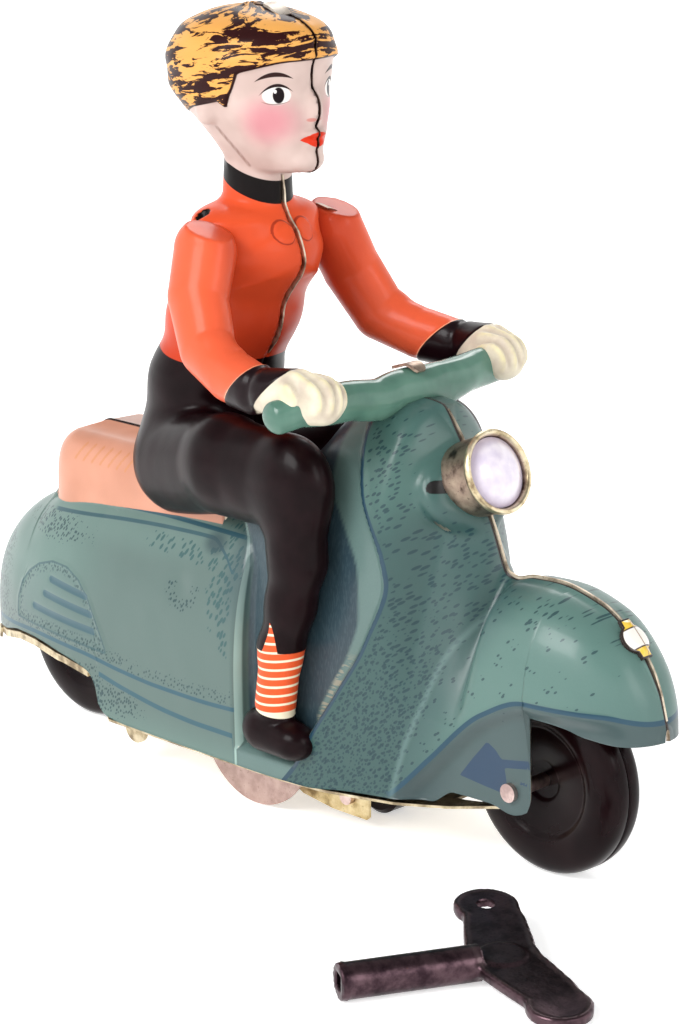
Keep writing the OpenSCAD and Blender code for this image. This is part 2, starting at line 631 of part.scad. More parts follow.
// ---------------------------------------------------------------- stabilisers and pilot wheel
stab_z = 15;
module stabiliser_disc() {
  translate([0, disc_y - 0.25, stab_z]) rotate([-90, 0, 0])
    difference() {
      cylinder(h = tin, r = disc_r, $fn = 96);
      translate([0, 0, -1]) cylinder(h = 3, r = axle_r);
    }
}
module stabiliser_disc_left() {
  color([0.7, 0.6, 0.57]) stabiliser_disc();
}
module stabiliser_disc_right() {
  color([0.7, 0.6, 0.57]) mirror([0, 1, 0]) stabiliser_disc();
}
module stabiliser_axle() {
  color([0.6, 0.6, 0.6]) along_y(0, -disc_y - 0.6, stab_z, 2 * disc_y + 1.2, axle_r);
}
pilot_x = 8;
rivet_r = 1;
pilot_wheel_x = 20.5;
bracket_y = 9.9;
module pilot_bracket() {
  color([0.84, 0.76, 0.52])
    difference() {
      union() {
        translate([4.6, -bracket_y, 7.9]) cube([21, 2 * bracket_y, 0.6]);
        for (s = [-1, 1])
          side_plate(s > 0 ? bracket_y - 0.6 : -bracket_y, 0.6)
            polygon([[4.6, 8.5], [4.6, 4.4], [8, 2.8], [16, 1.8], [25, 1.8], [25.6, 2.4], [25.6, 8.5]]);
      }
      translate([14.6, -3.8, 7]) cube([12, 7.6, 3]);
      translate([pilot_x, 0, 6]) cylinder(h = 4, r = rivet_r + run);
      along_y(pilot_wheel_x, -12, pilot_z, 24, 0.9);
    }
}
pilot_z = pilot_r + 0.05;
module pilot_rivet() {
  color([0.6, 0.6, 0.6])
    translate([pilot_x, 0, 0]) rotate_extrude()
      polygon([[0, 6.9], [2.2, 6.9], [2.2, 7.7], [rivet_r, 7.7], [rivet_r, floor_z], [1.9, floor_z],
        [1.9, floor_z + 0.7], [0, floor_z + 0.7]]);
}
module pilot_wheel() {
  color([0.1, 0.08, 0.08])
    translate([pilot_wheel_x, 0, pilot_z]) rotate([-90, 0, 0])
      rotate_extrude()
        polygon([[0.9 + run, -3], [pilot_r - 0.8, -3], [pilot_r, -2.2], [pilot_r, 2.2],
          [pilot_r - 0.8, 3], [0.9 + run, 3]]);
}
module pilot_pin() {
  color([0.72, 0.64, 0.62]) {
    along_y(pilot_wheel_x, -11, pilot_z, 22, 0.9);
    for (s = [-1, 1]) along_y(pilot_wheel_x, s > 0 ? 10 : -11, pilot_z, 1, 1.5);
  }
}

// ---------------------------------------------------------------- stop lever
stop_x = -33.6;
stop_z = 13.2;
module stop_lever() {
  color([0.78, 0.68, 0.56])
    side_plate(-15.6, 0.8)
      difference() {
        union() {
          translate([stop_x, 7.2]) circle(r = 3);
          translate([stop_x - 3, 7.2]) square([6, 7]);
          translate([stop_x - 1.6, 13]) square([3.2, 12]);
        }
        translate([stop_x, stop_z]) circle(r = 0.8 + run);
      }
}
module stop_lever_pin() {
  color([0.6, 0.6, 0.6]) along_y(stop_x, -16.4, stop_z, 3.3, 0.8);
}

// ---------------------------------------------------------------- winding key
key_end = [75.8, -66.2];
key_turn = 62.6;
key_tilt = 5;
key_length = 24;
lobe = [31.5, 18];
hole_r = 1.6;
module key_frame() {
  translate([key_end[0], key_end[1], key_tube_r])
    rotate([0, 0, key_turn])
      rotate([key_tilt, 0, 0]) children();
}
module bow_outline() {
  translate([28.2, 0]) circle(r = 6.2);
  for (s = [-1, 1]) {
    translate([lobe[0], s * lobe[1]]) circle(r = 5.6);
    polygon([[22.6, 0], [23, s * 5], [24.4, s * 10], [26.4, s * 15.6], [36.9, s * 19.2], [36.7, s * 12],
      [35.4, s * 4], [34.4, 0]]);
  }
}
module winding_key() {
  color([0.2, 0.19, 0.19])
    key_frame()
      difference() {
        union() {
          rotate([0, 90, 0]) cylinder(h = key_length, r = key_tube_r);
          translate([0, 0, -key_bow_t / 2]) linear_extrude(key_bow_t) bow_outline();
        }
        translate([-1, -square / 2 - 0.1, -square / 2 - 0.1]) cube([15, square + 0.2, square + 0.2]);
        translate([lobe[0], lobe[1], -3]) cylinder(h = 6, r = hole_r);
      }
}

body_shell_right();
body_shell_left();
base_plate();
mudguard_crest();
headlamp_cup();
headlamp_lens();
handlebar();
handlebar_clip();
rider_right_half();
rider_left_half();
right_arm();
left_arm();
front_wheel_right_half();
front_wheel_left_half();
front_axle();
rear_wheel_right_half();
rear_wheel_left_half();
rear_axle();
axle_pinion();
motor_plate_right();
motor_plate_left();
motor_pillars();
mainspring();
great_wheel();
click();
click_spring();
click_stud();
winding_arbor();
ratchet_wheel();
second_wheel();
second_pinion();
second_arbor();
governor_pinion();
governor_arbor();
governor_star();
governor_verge();
winding_eyelet();
stabiliser_disc_right();
stabiliser_disc_left();
stabiliser_axle();
pilot_bracket();
pilot_rivet();
pilot_wheel();
pilot_pin();
stop_lever();
stop_lever_pin();
winding_key();
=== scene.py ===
"""Looks of the tin wind-up motorcycle: printed tin, enamel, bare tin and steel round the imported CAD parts."""
import math

import bpy
import numpy as np
from mathutils import Matrix, Vector


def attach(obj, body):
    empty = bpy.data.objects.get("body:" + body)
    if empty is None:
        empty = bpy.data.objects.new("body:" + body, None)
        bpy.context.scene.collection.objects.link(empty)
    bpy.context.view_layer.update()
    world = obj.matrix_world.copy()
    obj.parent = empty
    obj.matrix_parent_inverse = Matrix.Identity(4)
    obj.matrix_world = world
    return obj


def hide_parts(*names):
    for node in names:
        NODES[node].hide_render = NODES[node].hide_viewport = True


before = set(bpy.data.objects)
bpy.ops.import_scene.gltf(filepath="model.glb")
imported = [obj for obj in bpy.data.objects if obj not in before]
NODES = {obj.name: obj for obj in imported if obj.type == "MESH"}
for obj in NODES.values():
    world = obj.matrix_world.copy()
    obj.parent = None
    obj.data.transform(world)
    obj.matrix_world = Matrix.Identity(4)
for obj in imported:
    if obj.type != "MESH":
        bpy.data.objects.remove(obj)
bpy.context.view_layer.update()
MM = 0.001
TIN = 0.5
CREASE_DEPTH = 2.6
ROLLED_EDGE = 1.3
COWL_FOOT = 18.4
LAMP_SEAT = (46, 68.5)


# ------------------------------------------------------------------ smooth curves, all in millimetres
def ease(t):
    c = np.clip(t, 0.0, 1.0)
    return c * c * (3.0 - 2.0 * c)


def dome(t, n):
    """Quarter of a superellipse: 1 at t = 0, 0 at t = 1."""
    return (1.0 - np.clip(t, 0.0, 1.0) ** n) ** (1.0 / n)


def curve(knots):
    """Smooth curve through (x, value) knots that never overshoots them, the same one as in the CAD part."""
    xs, ys = np.array(knots, float).T
    h = np.diff(xs)
    chord = np.diff(ys) / h
    slope = np.zeros(len(xs))
    slope[0], slope[-1] = chord[0], chord[-1]
    for i in range(1, len(xs) - 1):
        a, b = chord[i - 1], chord[i]
        slope[i] = 0.0 if a * b <= 0 else 2.0 * a * b / (a + b)

    def value(x):
        x = np.clip(np.asarray(x, float), xs[0], xs[-1])
        i = np.clip(np.searchsorted(xs, x, side="right") - 1, 0, len(h) - 1)
        t = (x - xs[i]) / h[i]
        a, b = slope[i] * h[i], slope[i + 1] * h[i]
        return (ys[i] * (2 * t**3 - 3 * t**2 + 1) + a * (t**3 - 2 * t**2 + t)
                + ys[i + 1] * (3 * t**2 - 2 * t**3) + b * (t**3 - t**2))
    return value


# ------------------------------------------------------------------ the body's skin, as in the CAD part
TAIL_X, NOSE_X = -88.0, 88.8
BODY_HALF, RECESS_HALF, GUARD_HALF, SEAT_HALF = 20.5, 16.4, 14.2, 13.0
SILL_Z = 13.4
top_line = curve([(TAIL_X, 19.6), (-87, 26), (-83.5, 34.5), (-78, 41), (-72, 45.3), (-64.2, 49), (-63.4, 55),
                  (-60.5, 60.6), (-56, 62.6), (-9, 62.6), (0, 65), (8.7, 68.7), (13.8, 73.3), (18, 77.5),
                  (24, 80), (32, 81.2), (36, 80.8), (39.7, 76.2), (48.4, 59.8), (51.7, 52.6), (54, 51.9),
                  (58, 52.9), (64, 53.2), (74, 51.2), (82.6, 45), (86.9, 38.4), (NOSE_X, 32.2)])
cowl_crown = curve([(TAIL_X, 19.6), (-87, 26), (-83.5, 34.5), (-78, 41), (-72, 45.3), (-64, 49), (-57, 52.5),
                    (-45, 54.5), (-11, 57.5), (2, 58)])
low_edge = curve([(TAIL_X, 17), (-83.5, 17.5), (-75, 18.6), (-67, 20.6), (-60, 21), (-50, 20), (-42, 18.4),
                  (-39.6, 16), (-38.6, 12), (-36, 10.2), (-30, 9.7), (18, 9.5), (29, 10.8), (38, 11.4),
                  (45, 11.6), (50, 14.3), (58, 14.2), (63, 13.3), (66.5, 14.4), (67.5, 17), (67.6, 32.2),
                  (70.8, 32), (74.4, 31.4), (78, 30.3), (84.6, 29.8), (NOSE_X, 30)])
side_line = curve([(-42, BODY_HALF), (5, BODY_HALF), (20, 19.6), (30, 18.3), (38, 17), (46, 15.6), (55, 14.6),
                   (60.5, 14.22), (62, GUARD_HALF)])
cowl_edge = curve([(9, 1.5), (46, 1.5), (51, 0), (55, -4.5), (58, -11)])
shield_edge = curve([(9, 12), (14.3, 16.4), (18.9, 19.2), (29.1, 26), (40, 32.7), (50, 36), (55.3, 34.9),
                     (65.3, 29.6), (70.5, 27.9), (80, 25)])
crease_line = curve([(38, 12), (40.3, 14), (46.2, 20), (58.5, 31.3), (68, 35.2), (81.8, 35), (NOSE_X, 33.5)])


def plan_half(x):
    tail = BODY_HALF * dome(0.999 * (-42 - x) / (-42 - TAIL_X), 2)
    nose = GUARD_HALF * dome(0.999 * (x - 62) / (NOSE_X - 62), 2)
    return np.where(x < -42, tail, np.where(x > 62, nose, side_line(x)))


def section(z, shoulder, crown, n):
    t = (z - shoulder) / np.maximum(crown - shoulder, 1e-6)
    return np.where(z <= shoulder, 1.0, np.where(z >= crown, 0.0, dome(t, n)))


def cowl_y(x, z):
    crown, low = cowl_crown(x), np.maximum(low_edge(x), COWL_FOOT)
    return plan_half(x) * section(z, low + 0.1 * (crown - low), crown, 2.5)


def seat_y(x, z):
    y = SEAT_HALF * dome((-52 - x) / 12.3, 2.5) * section(z, 44.0, top_line(x), 5)
    return np.where((x > -9) | (x < -64.2), 0.0, y)


def ridge(x, z):
    """1 where the column's front narrows to a ridge, 0 where it is round, as it is behind the lamp."""
    return ease((x - 34) / 8) * ease((57 - x) / 5) * (1 - ease(1.5 - np.hypot(x - LAMP_SEAT[0], z - LAMP_SEAT[1]) / 7))


def shield_y(x, z):
    crown, low = top_line(x), low_edge(x)
    dent = CREASE_DEPTH * ease((crease_line(x) - z) / 4) * ease((x - 38) / 6) * ease((NOSE_X - x) / 12)
    shoulder = np.minimum(28, low + 0.35 * (crown - low))
    return plan_half(x) * section(z, shoulder, crown, 2.5 - 1.4 * ridge(x, z)) - dent


def recess_y(x, z):
    flat = RECESS_HALF * section(z, 14.0, top_line(x), 3)
    return np.minimum(flat, np.where(x > 8, shield_y(x, z) - ROLLED_EDGE, 99.0))


def body_y(x, z):
    skin = np.where(x < 8, cowl_y(x, z), shield_y(x, z))
    r = recess_y(x, z)
    up = np.maximum(np.maximum(ease((cowl_edge(z) - x) / 1.6 + 0.5), ease((SILL_Z - z) / 1.4 + 0.5)),
                    ease((x - shield_edge(z)) / 1.6 + 0.5))
    y = np.where((x < -12) | (x > 40), skin, r + (skin - r) * up)
    return np.maximum(np.maximum(y, seat_y(x, z)), 0.0)


# ------------------------------------------------------------------ signed distances in a plane
def polygon_distance(px, pz, corners):
    """Distance to a closed polygon, positive inside."""
    c = np.array(corners, float)
    best = np.full(px.shape, 1e9)
    inside = np.zeros(px.shape, bool)
    for (ax, az), (bx, bz) in zip(c, np.roll(c, -1, 0)):
        ex, ez = bx - ax, bz - az
        t = np.clip(((px - ax) * ex + (pz - az) * ez) / (ex * ex + ez * ez), 0, 1)
        best = np.minimum(best, np.hypot(px - ax - t * ex, pz - az - t * ez))
        cross = ((az > pz) != (bz > pz)) & (px < ax + (pz - az) * ex / (ez if ez else 1e-9))
        inside ^= cross
    return np.where(inside, best, -best)


def stroke_distance(px, pz, a, b, half):
    """Distance to a round-ended stroke from a to b, positive inside."""
    ex, ez = b[0] - a[0], b[1] - a[1]
    t = np.clip(((px - a[0]) * ex + (pz - a[1]) * ez) / (ex * ex + ez * ez), 0, 1)
    return half - np.hypot(px - a[0] - t * ex, pz - a[1] - t * ez)


def blob(px, pz, cx, cz, rx, rz):
    """Soft spot, 1 at its middle and 0 at its radius."""
    return ease(1.3 - np.hypot((px - cx) / rx, (pz - cz) / rz))


# ------------------------------------------------------------------ meshes
def add_mesh(name, verts, faces, materials, smooth=True, floats=None, slots=None, scale=MM):
    """New object from vertices in millimetres. floats are per-vertex attributes, slots one material index a face."""
    mesh = bpy.data.meshes.new(name)
    v = np.asarray(verts, float) * scale
    mesh.from_pydata([tuple(p) for p in v], [], [tuple(int(i) for i in f) for f in faces])
    for m in materials:
        mesh.materials.append(m)
    if slots is not None:
        mesh.polygons.foreach_set("material_index", np.asarray(slots, np.int32))
    mesh.polygons.foreach_set("use_smooth", np.full(len(mesh.polygons), smooth, bool))
    for key, values in (floats or {}).items():
        mesh.attributes.new(key, "FLOAT", "POINT").data.foreach_set("value", np.asarray(values, np.float32))
    mesh.update()
    obj = bpy.data.objects.new(name, mesh)
    bpy.context.scene.collection.objects.link(obj)
    return obj


def place(obj, body, slot, *nodes):
    """Rides on a CAD body and stands for CAD nodes; its slot argument is not used."""
    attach(obj, body)
    if nodes:
        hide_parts(*nodes)
    return obj


def sharp_edges(obj, degrees=35):
    """Smooth shading that keeps edges sharper than this angle."""
    mesh = obj.data
    import bmesh
    bm = bmesh.new()
    bm.from_mesh(mesh)
    limit = math.radians(degrees)
    for e in bm.edges:
        e.smooth = not (len(e.link_faces) == 2 and e.calc_face_angle(0.0) > limit)
    bm.to_mesh(mesh)
    bm.free()
    return obj


def grid_faces(n, m, at=0, flip=False):
    i, j = np.meshgrid(np.arange(n - 1), np.arange(m - 1), indexing="ij")
    a = (at + i * m + j).ravel()
    q = np.stack([a, a + 1, a + m + 1, a + m], 1)
    return q[:, ::-1] if flip else q


def strip_faces(a, b, flip=False):
    a, b = np.asarray(a), np.asarray(b)
    q = np.stack([a[:-1], b[:-1], b[1:], a[1:]], 1)
    return q[:, ::-1] if flip else q


def lathe(name, profile, origin, axis, materials, segments=128, slots=None, close=True, degrees=35):
    """Turns an (r, h) profile in millimetres about an axis through origin."""
    p = np.array(profile, float)
    n = len(p)
    z = Vector(axis).normalized()
    u = z.orthogonal().normalized()
    w = z.cross(u)
    ang = np.linspace(0, 2 * math.pi, segments, endpoint=False)
    dirs = np.outer(np.cos(ang), u) + np.outer(np.sin(ang), w)
    verts = (np.array(origin)[None, None] + dirs[:, None] * p[None, :, :1] + np.array(z)[None, None] * p[None, :, 1:])
    idx = np.arange(segments * n).reshape(segments, n)
    nxt = np.roll(idx, -1, 0)
    last = n if close else n - 1
    faces, which = [], []
    for j in range(last):
        k = (j + 1) % n
        faces.append(np.stack([idx[:, j], nxt[:, j], nxt[:, k], idx[:, k]], 1))
        which += [0 if slots is None else slots[j]] * segments
    obj = add_mesh(name, verts.reshape(-1, 3), np.concatenate(faces), materials, True, None, which)
    return sharp_edges(obj, degrees)


def surface_nets(f, low, step):
    """Closed surface of the field f < 0 on a grid: (vertices, quads)."""
    inside = f < 0
    nx, ny, nz = f.shape
    corners = [(i, j, k) for i in (0, 1) for j in (0, 1) for k in (0, 1)]
    count = np.zeros((nx - 1, ny - 1, nz - 1), np.int8)
    for i, j, k in corners:
        count += inside[i:nx - 1 + i, j:ny - 1 + j, k:nz - 1 + k]
    active = (count > 0) & (count < 8)
    cells = np.argwhere(active)
    total = np.zeros((len(cells), 3))
    hits = np.zeros(len(cells))
    ci, cj, ck = cells.T
    for a in corners:
        for d in range(3):
            if a[d]:
                continue
            b = tuple(1 if q == d else a[q] for q in range(3))
            fa = f[ci + a[0], cj + a[1], ck + a[2]]
            fb = f[ci + b[0], cj + b[1], ck + b[2]]
            cross = (fa < 0) != (fb < 0)
            t = np.where(cross, fa / np.where(cross, fa - fb, 1), 0)
            p = np.tile(np.array(a, float), (len(cells), 1))
            p[:, d] = t
            total += p * cross[:, None]
            hits += cross
    verts = np.array(low) + step * (cells + total / hits[:, None])
    index = np.full(active.shape, -1)
    index[ci, cj, ck] = np.arange(len(cells))
    quads = []
    for d in range(3):
        e, g = [q for q in range(3) if q != d]
        fa = np.take(inside, range(inside.shape[d] - 1), d)
        fb = np.take(inside, range(1, inside.shape[d]), d)
        flips = np.argwhere(fa != fb)
        flips = flips[(flips[:, e] > 0) & (flips[:, g] > 0)
                      & (flips[:, e] < f.shape[e] - 1) & (flips[:, g] < f.shape[g] - 1)]
        first = fa[tuple(flips.T)]
        ids = []
        for de, dg in ((0, 0), (1, 0), (1, 1), (0, 1)):
            c = flips.copy()
            c[:, e] -= de
            c[:, g] -= dg
            ids.append(index[tuple(c.T)])
        q = np.stack(ids, 1)
        turn = first if d != 1 else ~first
        q[turn] = q[turn][:, ::-1]
        quads.append(q)
    return verts, np.concatenate(quads)


def solid_from_field(field, low, high, step):
    """Mesh of field(x, y, z) < 0, in millimetres, with its vertices pulled onto the surface."""
    axes = [np.arange(a, b + step, step) for a, b in zip(low, high)]
    x, y, z = np.meshgrid(*axes, indexing="ij")
    verts, quads = surface_nets(field(x, y, z), low, step)
    for _ in range(2):
        h = 0.05
        d = field(*verts.T)
        g = np.stack([field(*(verts + h * np.eye(3)[k]).T) - d for k in range(3)], 1) / h
        norm = np.maximum((g * g).sum(1), 0.05)
        move = g * (d / norm)[:, None]
        size = np.linalg.norm(move, axis=1, keepdims=True)
        verts = verts - move * np.minimum(1, 0.5 * step / np.maximum(size, 1e-9))
    return verts, quads


def chain_distance(points, x, y, z, k=0.0):
    """Distance to a rounded limb through knobs [x, y, z, rx, ry, rz], negative inside."""
    best = None
    for a, b in zip(points[:-1], points[1:]):
        a, b = np.array(a, float), np.array(b, float)
        e = b[:3] - a[:3]
        t = np.clip(((x - a[0]) * e[0] + (y - a[1]) * e[1] + (z - a[2]) * e[2]) / (e @ e), 0, 1)
        q = [(v - a[k] - t * e[k]) for k, v in enumerate((x, y, z))]
        r = [a[3 + k] + t * (b[3 + k] - a[3 + k]) for k in range(3)]
        k1 = np.sqrt(sum((u / s) ** 2 for u, s in zip(q, r)))
        k2 = np.sqrt(sum((u / s**2) ** 2 for u, s in zip(q, r)))
        d = k1 * (k1 - 1) / np.maximum(k2, 1e-6)
        best = d if best is None else melt(best, d, k) if k else np.minimum(best, d)
    return best


def melt(a, b, k):
    """Smooth union."""
    h = np.clip(0.5 + 0.5 * (b - a) / k, 0, 1)
    return b + (a - b) * h - k * h * (1 - h)


def bump(x, y, z, at, r):
    """Distance to an ellipsoid."""
    return chain_distance([[*at, *r], [at[0], at[1], at[2] + 0.01, *r]], x, y, z)


# ------------------------------------------------------------------ materials
def ink(r, g, b):
    """Colour from screen values 0..255 to the linear values that shaders use."""
    def lin(c):
        c /= 255.0
        return c / 12.92 if c <= 0.04045 else ((c + 0.055) / 1.055) ** 2.4
    return (lin(r), lin(g), lin(b), 1.0)


class Paint:
    """Short names for building one node material."""

    def __init__(self, name, rough=0.3, metal=0.0, coat=0.0, coat_rough=0.08, spec=0.5):
        self.mat = bpy.data.materials.new(name)
        self.mat.use_nodes = True
        self.tree = self.mat.node_tree
        self.out = self.tree.nodes["Material Output"]
        self.bsdf = self.tree.nodes["Principled BSDF"]
        self.put("Roughness", rough)
        self.put("Metallic", metal)
        self.put("Coat Weight", coat)
        self.put("Coat Roughness", coat_rough)
        self.put("Specular IOR Level", spec)
        self.where = self.node("ShaderNodeTexCoord").outputs["Object"]

    def node(self, kind, **settings):
        n = self.tree.nodes.new(kind)
        for k, v in settings.items():
            setattr(n, k, v)
        return n

    def feed(self, socket, value):
        if isinstance(value, bpy.types.NodeSocket):
            self.tree.links.new(value, socket)
        elif isinstance(value, tuple) and len(socket.default_value) == 3:
            socket.default_value = value[:3]
        else:
            socket.default_value = value

    def put(self, name, value):
        self.feed(self.bsdf.inputs[name], value)

    def math(self, op, a, b=0.0, c=0.0, clamp=False):
        n = self.node("ShaderNodeMath", operation=op, use_clamp=clamp)
        for s, v in zip(n.inputs, (a, b, c)):
            self.feed(s, v)
        return n.outputs[0]

    def add(self, a, b):
        return self.math("ADD", a, b)

    def sub(self, a, b):
        return self.math("SUBTRACT", a, b)

    def mul(self, a, b):
        return self.math("MULTIPLY", a, b)

    def high(self, a, b):
        return self.math("MAXIMUM", a, b)

    def low(self, a, b):
        return self.math("MINIMUM", a, b)

    def attr(self, name):
        return self.node("ShaderNodeAttribute", attribute_name=name).outputs["Fac"]

    def step(self, value, edge, soft=0.06):
        """0 below the edge, 1 above it."""
        n = self.node("ShaderNodeMapRange", interpolation_type="SMOOTHSTEP")
        self.feed(n.inputs["Value"], value)
        if isinstance(edge, bpy.types.NodeSocket):
            self.feed(n.inputs["From Min"], self.sub(edge, soft))
            self.feed(n.inputs["From Max"], self.add(edge, soft))
        else:
            n.inputs["From Min"].default_value = edge - soft
            n.inputs["From Max"].default_value = edge + soft
        return n.outputs["Result"]

    def line(self, value, centre, half, soft=0.07):
        """1 on a band round centre."""
        return self.sub(1.0, self.step(self.math("ABSOLUTE", self.sub(value, centre)), half, soft))

    def mix(self, fac, a, b):
        n = self.node("ShaderNodeMix", data_type="RGBA")
        self.feed(n.inputs[0], fac)
        self.feed(n.inputs[6], a)
        self.feed(n.inputs[7], b)
        return n.outputs[2]

    def space(self, scale=(1000, 1000, 1000), turn=(0, 0, 0), shift=(0, 0, 0)):
        """Object coordinates in millimetres, turned and stretched."""
        n = self.node("ShaderNodeMapping")
        self.feed(n.inputs["Vector"], self.where)
        n.inputs["Scale"].default_value = scale
        n.inputs["Rotation"].default_value = [math.radians(a) for a in turn]
        n.inputs["Location"].default_value = shift
        return n.outputs[0]

    def noise(self, vector, scale=1.0, detail=2.0, rough=0.5, warp=0.0):
        n = self.node("ShaderNodeTexNoise")
        self.feed(n.inputs["Vector"], vector)
        n.inputs["Scale"].default_value = scale
        n.inputs["Detail"].default_value = detail
        n.inputs["Roughness"].default_value = rough
        n.inputs["Distortion"].default_value = warp
        return n.outputs["Fac"]

    def cells(self, vector, scale=1.0, out="Distance", random=1.0):
        n = self.node("ShaderNodeTexVoronoi")
        self.feed(n.inputs["Vector"], vector)
        n.inputs["Scale"].default_value = scale
        n.inputs["Randomness"].default_value = random
        return n.outputs[out]

    def tone(self, amount=0.06, scale=0.09):
        """Slow light and dark drift."""
        n = self.noise(self.space(), scale, 3.0)
        return self.add(1.0, self.mul(self.sub(n, 0.5), 2 * amount))

    def dim(self, colour, factor):
        n = self.node("ShaderNodeVectorMath", operation="SCALE")
        self.feed(n.inputs[0], colour)
        self.feed(n.inputs["Scale"], factor)
        return n.outputs[0]

    def bumps(self, height, strength=0.2, distance=0.0002):
        n = self.node("ShaderNodeBump")
        n.inputs["Strength"].default_value = strength
        n.inputs["Distance"].default_value = distance
        self.feed(n.inputs["Height"], height)
        self.put("Normal", n.outputs[0])

    def dents(self, strength=0.25):
        """Slight waviness of hand-pressed tin under enamel, and a fine orange peel."""
        wide = self.noise(self.space(), 0.11, 1.0)
        fine = self.noise(self.space(), 1.3, 2.0)
        self.bumps(self.add(self.mul(wide, 1.0), self.mul(fine, 0.025)), strength, 0.0012)

    def done(self, colour):
        self.put("Base Color", colour)
        return self.mat


def worn_metal(name, base, dark, light, rough=0.35, grain=(40, 400, 400), stain=0.35):
    """Bare sheet or wire: brushed grain, pale patches, dull stains and small dark specks."""
    p = Paint(name, rough, 1.0)
    fibre = p.noise(p.space(grain), 1.0, 3.0, 0.6)
    patch = p.noise(p.space(), 0.28, 4.0, 0.6)
    specks = p.step(p.noise(p.space(), 1.6, 3.0, 0.7), 0.66, 0.03)
    c = p.mix(p.step(patch, 0.56, 0.14), base, light)
    c = p.mix(p.mul(p.step(p.sub(1.0, patch), 0.58, 0.1), stain * 2), c, dark)
    c = p.mix(p.mul(specks, 0.6), c, dark)
    c = p.dim(c, p.add(0.86, p.mul(fibre, 0.28)))
    p.put("Roughness", p.add(rough - 0.08, p.mul(patch, 0.2)))
    p.bumps(p.add(fibre, p.mul(patch, 2.0)), 0.15, 0.00012)
    return p.done(c)


def enamel(name, base, dark, rough=0.22, amount=0.07, coat=0.3, spec=0.25):
    """Plain gloss enamel with slow drift, a few nicks and slight dents."""
    p = Paint(name, rough, 0.0, coat, 0.06, spec)
    drift = p.noise(p.space(), 0.12, 3.0)
    nick = p.step(p.noise(p.space(), 2.3, 3.0, 0.75), 0.74, 0.015)
    c = p.mix(p.step(drift, 0.55, 0.18), base, dark)
    c = p.dim(c, p.tone(amount, 0.5))
    c = p.mix(p.mul(nick, 0.5), c, dark)
    p.dents()
    return p.done(c)


TEAL_DARK = ink(20, 56, 62)
BARE = worn_metal("bare_tin", ink(178, 164, 150), ink(84, 68, 58), ink(206, 196, 184), 0.34)
EDGE = worn_metal("tin_edge", ink(196, 180, 158), ink(70, 52, 44), ink(222, 210, 190), 0.38)
GOLD_TIN = worn_metal("lacquered_tin", ink(190, 168, 120), ink(98, 76, 50), ink(224, 208, 168), 0.4)
BEIGE = worn_metal("floor_tin", ink(200, 184, 152), ink(96, 78, 62), ink(226, 214, 188), 0.42)
DISC = worn_metal("disc_tin", ink(176, 150, 142), ink(120, 96, 92), ink(192, 168, 160), 0.42, (30, 30, 30), 0.15)
LAMP_TIN = worn_metal("lamp_tin", ink(158, 136, 122), ink(70, 54, 46), ink(188, 168, 148), 0.36, (60, 60, 60), 0.5)
LAMP_RIM = worn_metal("lamp_rim", ink(214, 196, 158), ink(110, 90, 70), ink(238, 226, 198), 0.3, (60, 60, 60), 0.45)
RIVET = worn_metal("pink_rivet", ink(206, 180, 174), ink(120, 98, 96), ink(228, 208, 202), 0.3, (60, 60, 60), 0.2)
STEEL = worn_metal("steel", ink(168, 168, 170), ink(92, 88, 86), ink(196, 196, 198), 0.3)
BRASS = worn_metal("brass", ink(196, 160, 82), ink(120, 88, 42), ink(222, 192, 118), 0.28, (60, 60, 60), 0.3)
SPRING = worn_metal("blued_spring", ink(92, 98, 116), ink(52, 50, 62), ink(130, 134, 150), 0.28)
PLATE = worn_metal("motor_plate", ink(184, 176, 160), ink(112, 98, 82), ink(208, 202, 190), 0.36)
GREEN = enamel("bar_enamel", ink(92, 128, 113), ink(74, 110, 96))
WHEEL = enamel("wheel_enamel", ink(14, 3, 5), ink(24, 9, 11), 0.22, 0.1, 0.03, 0.09)


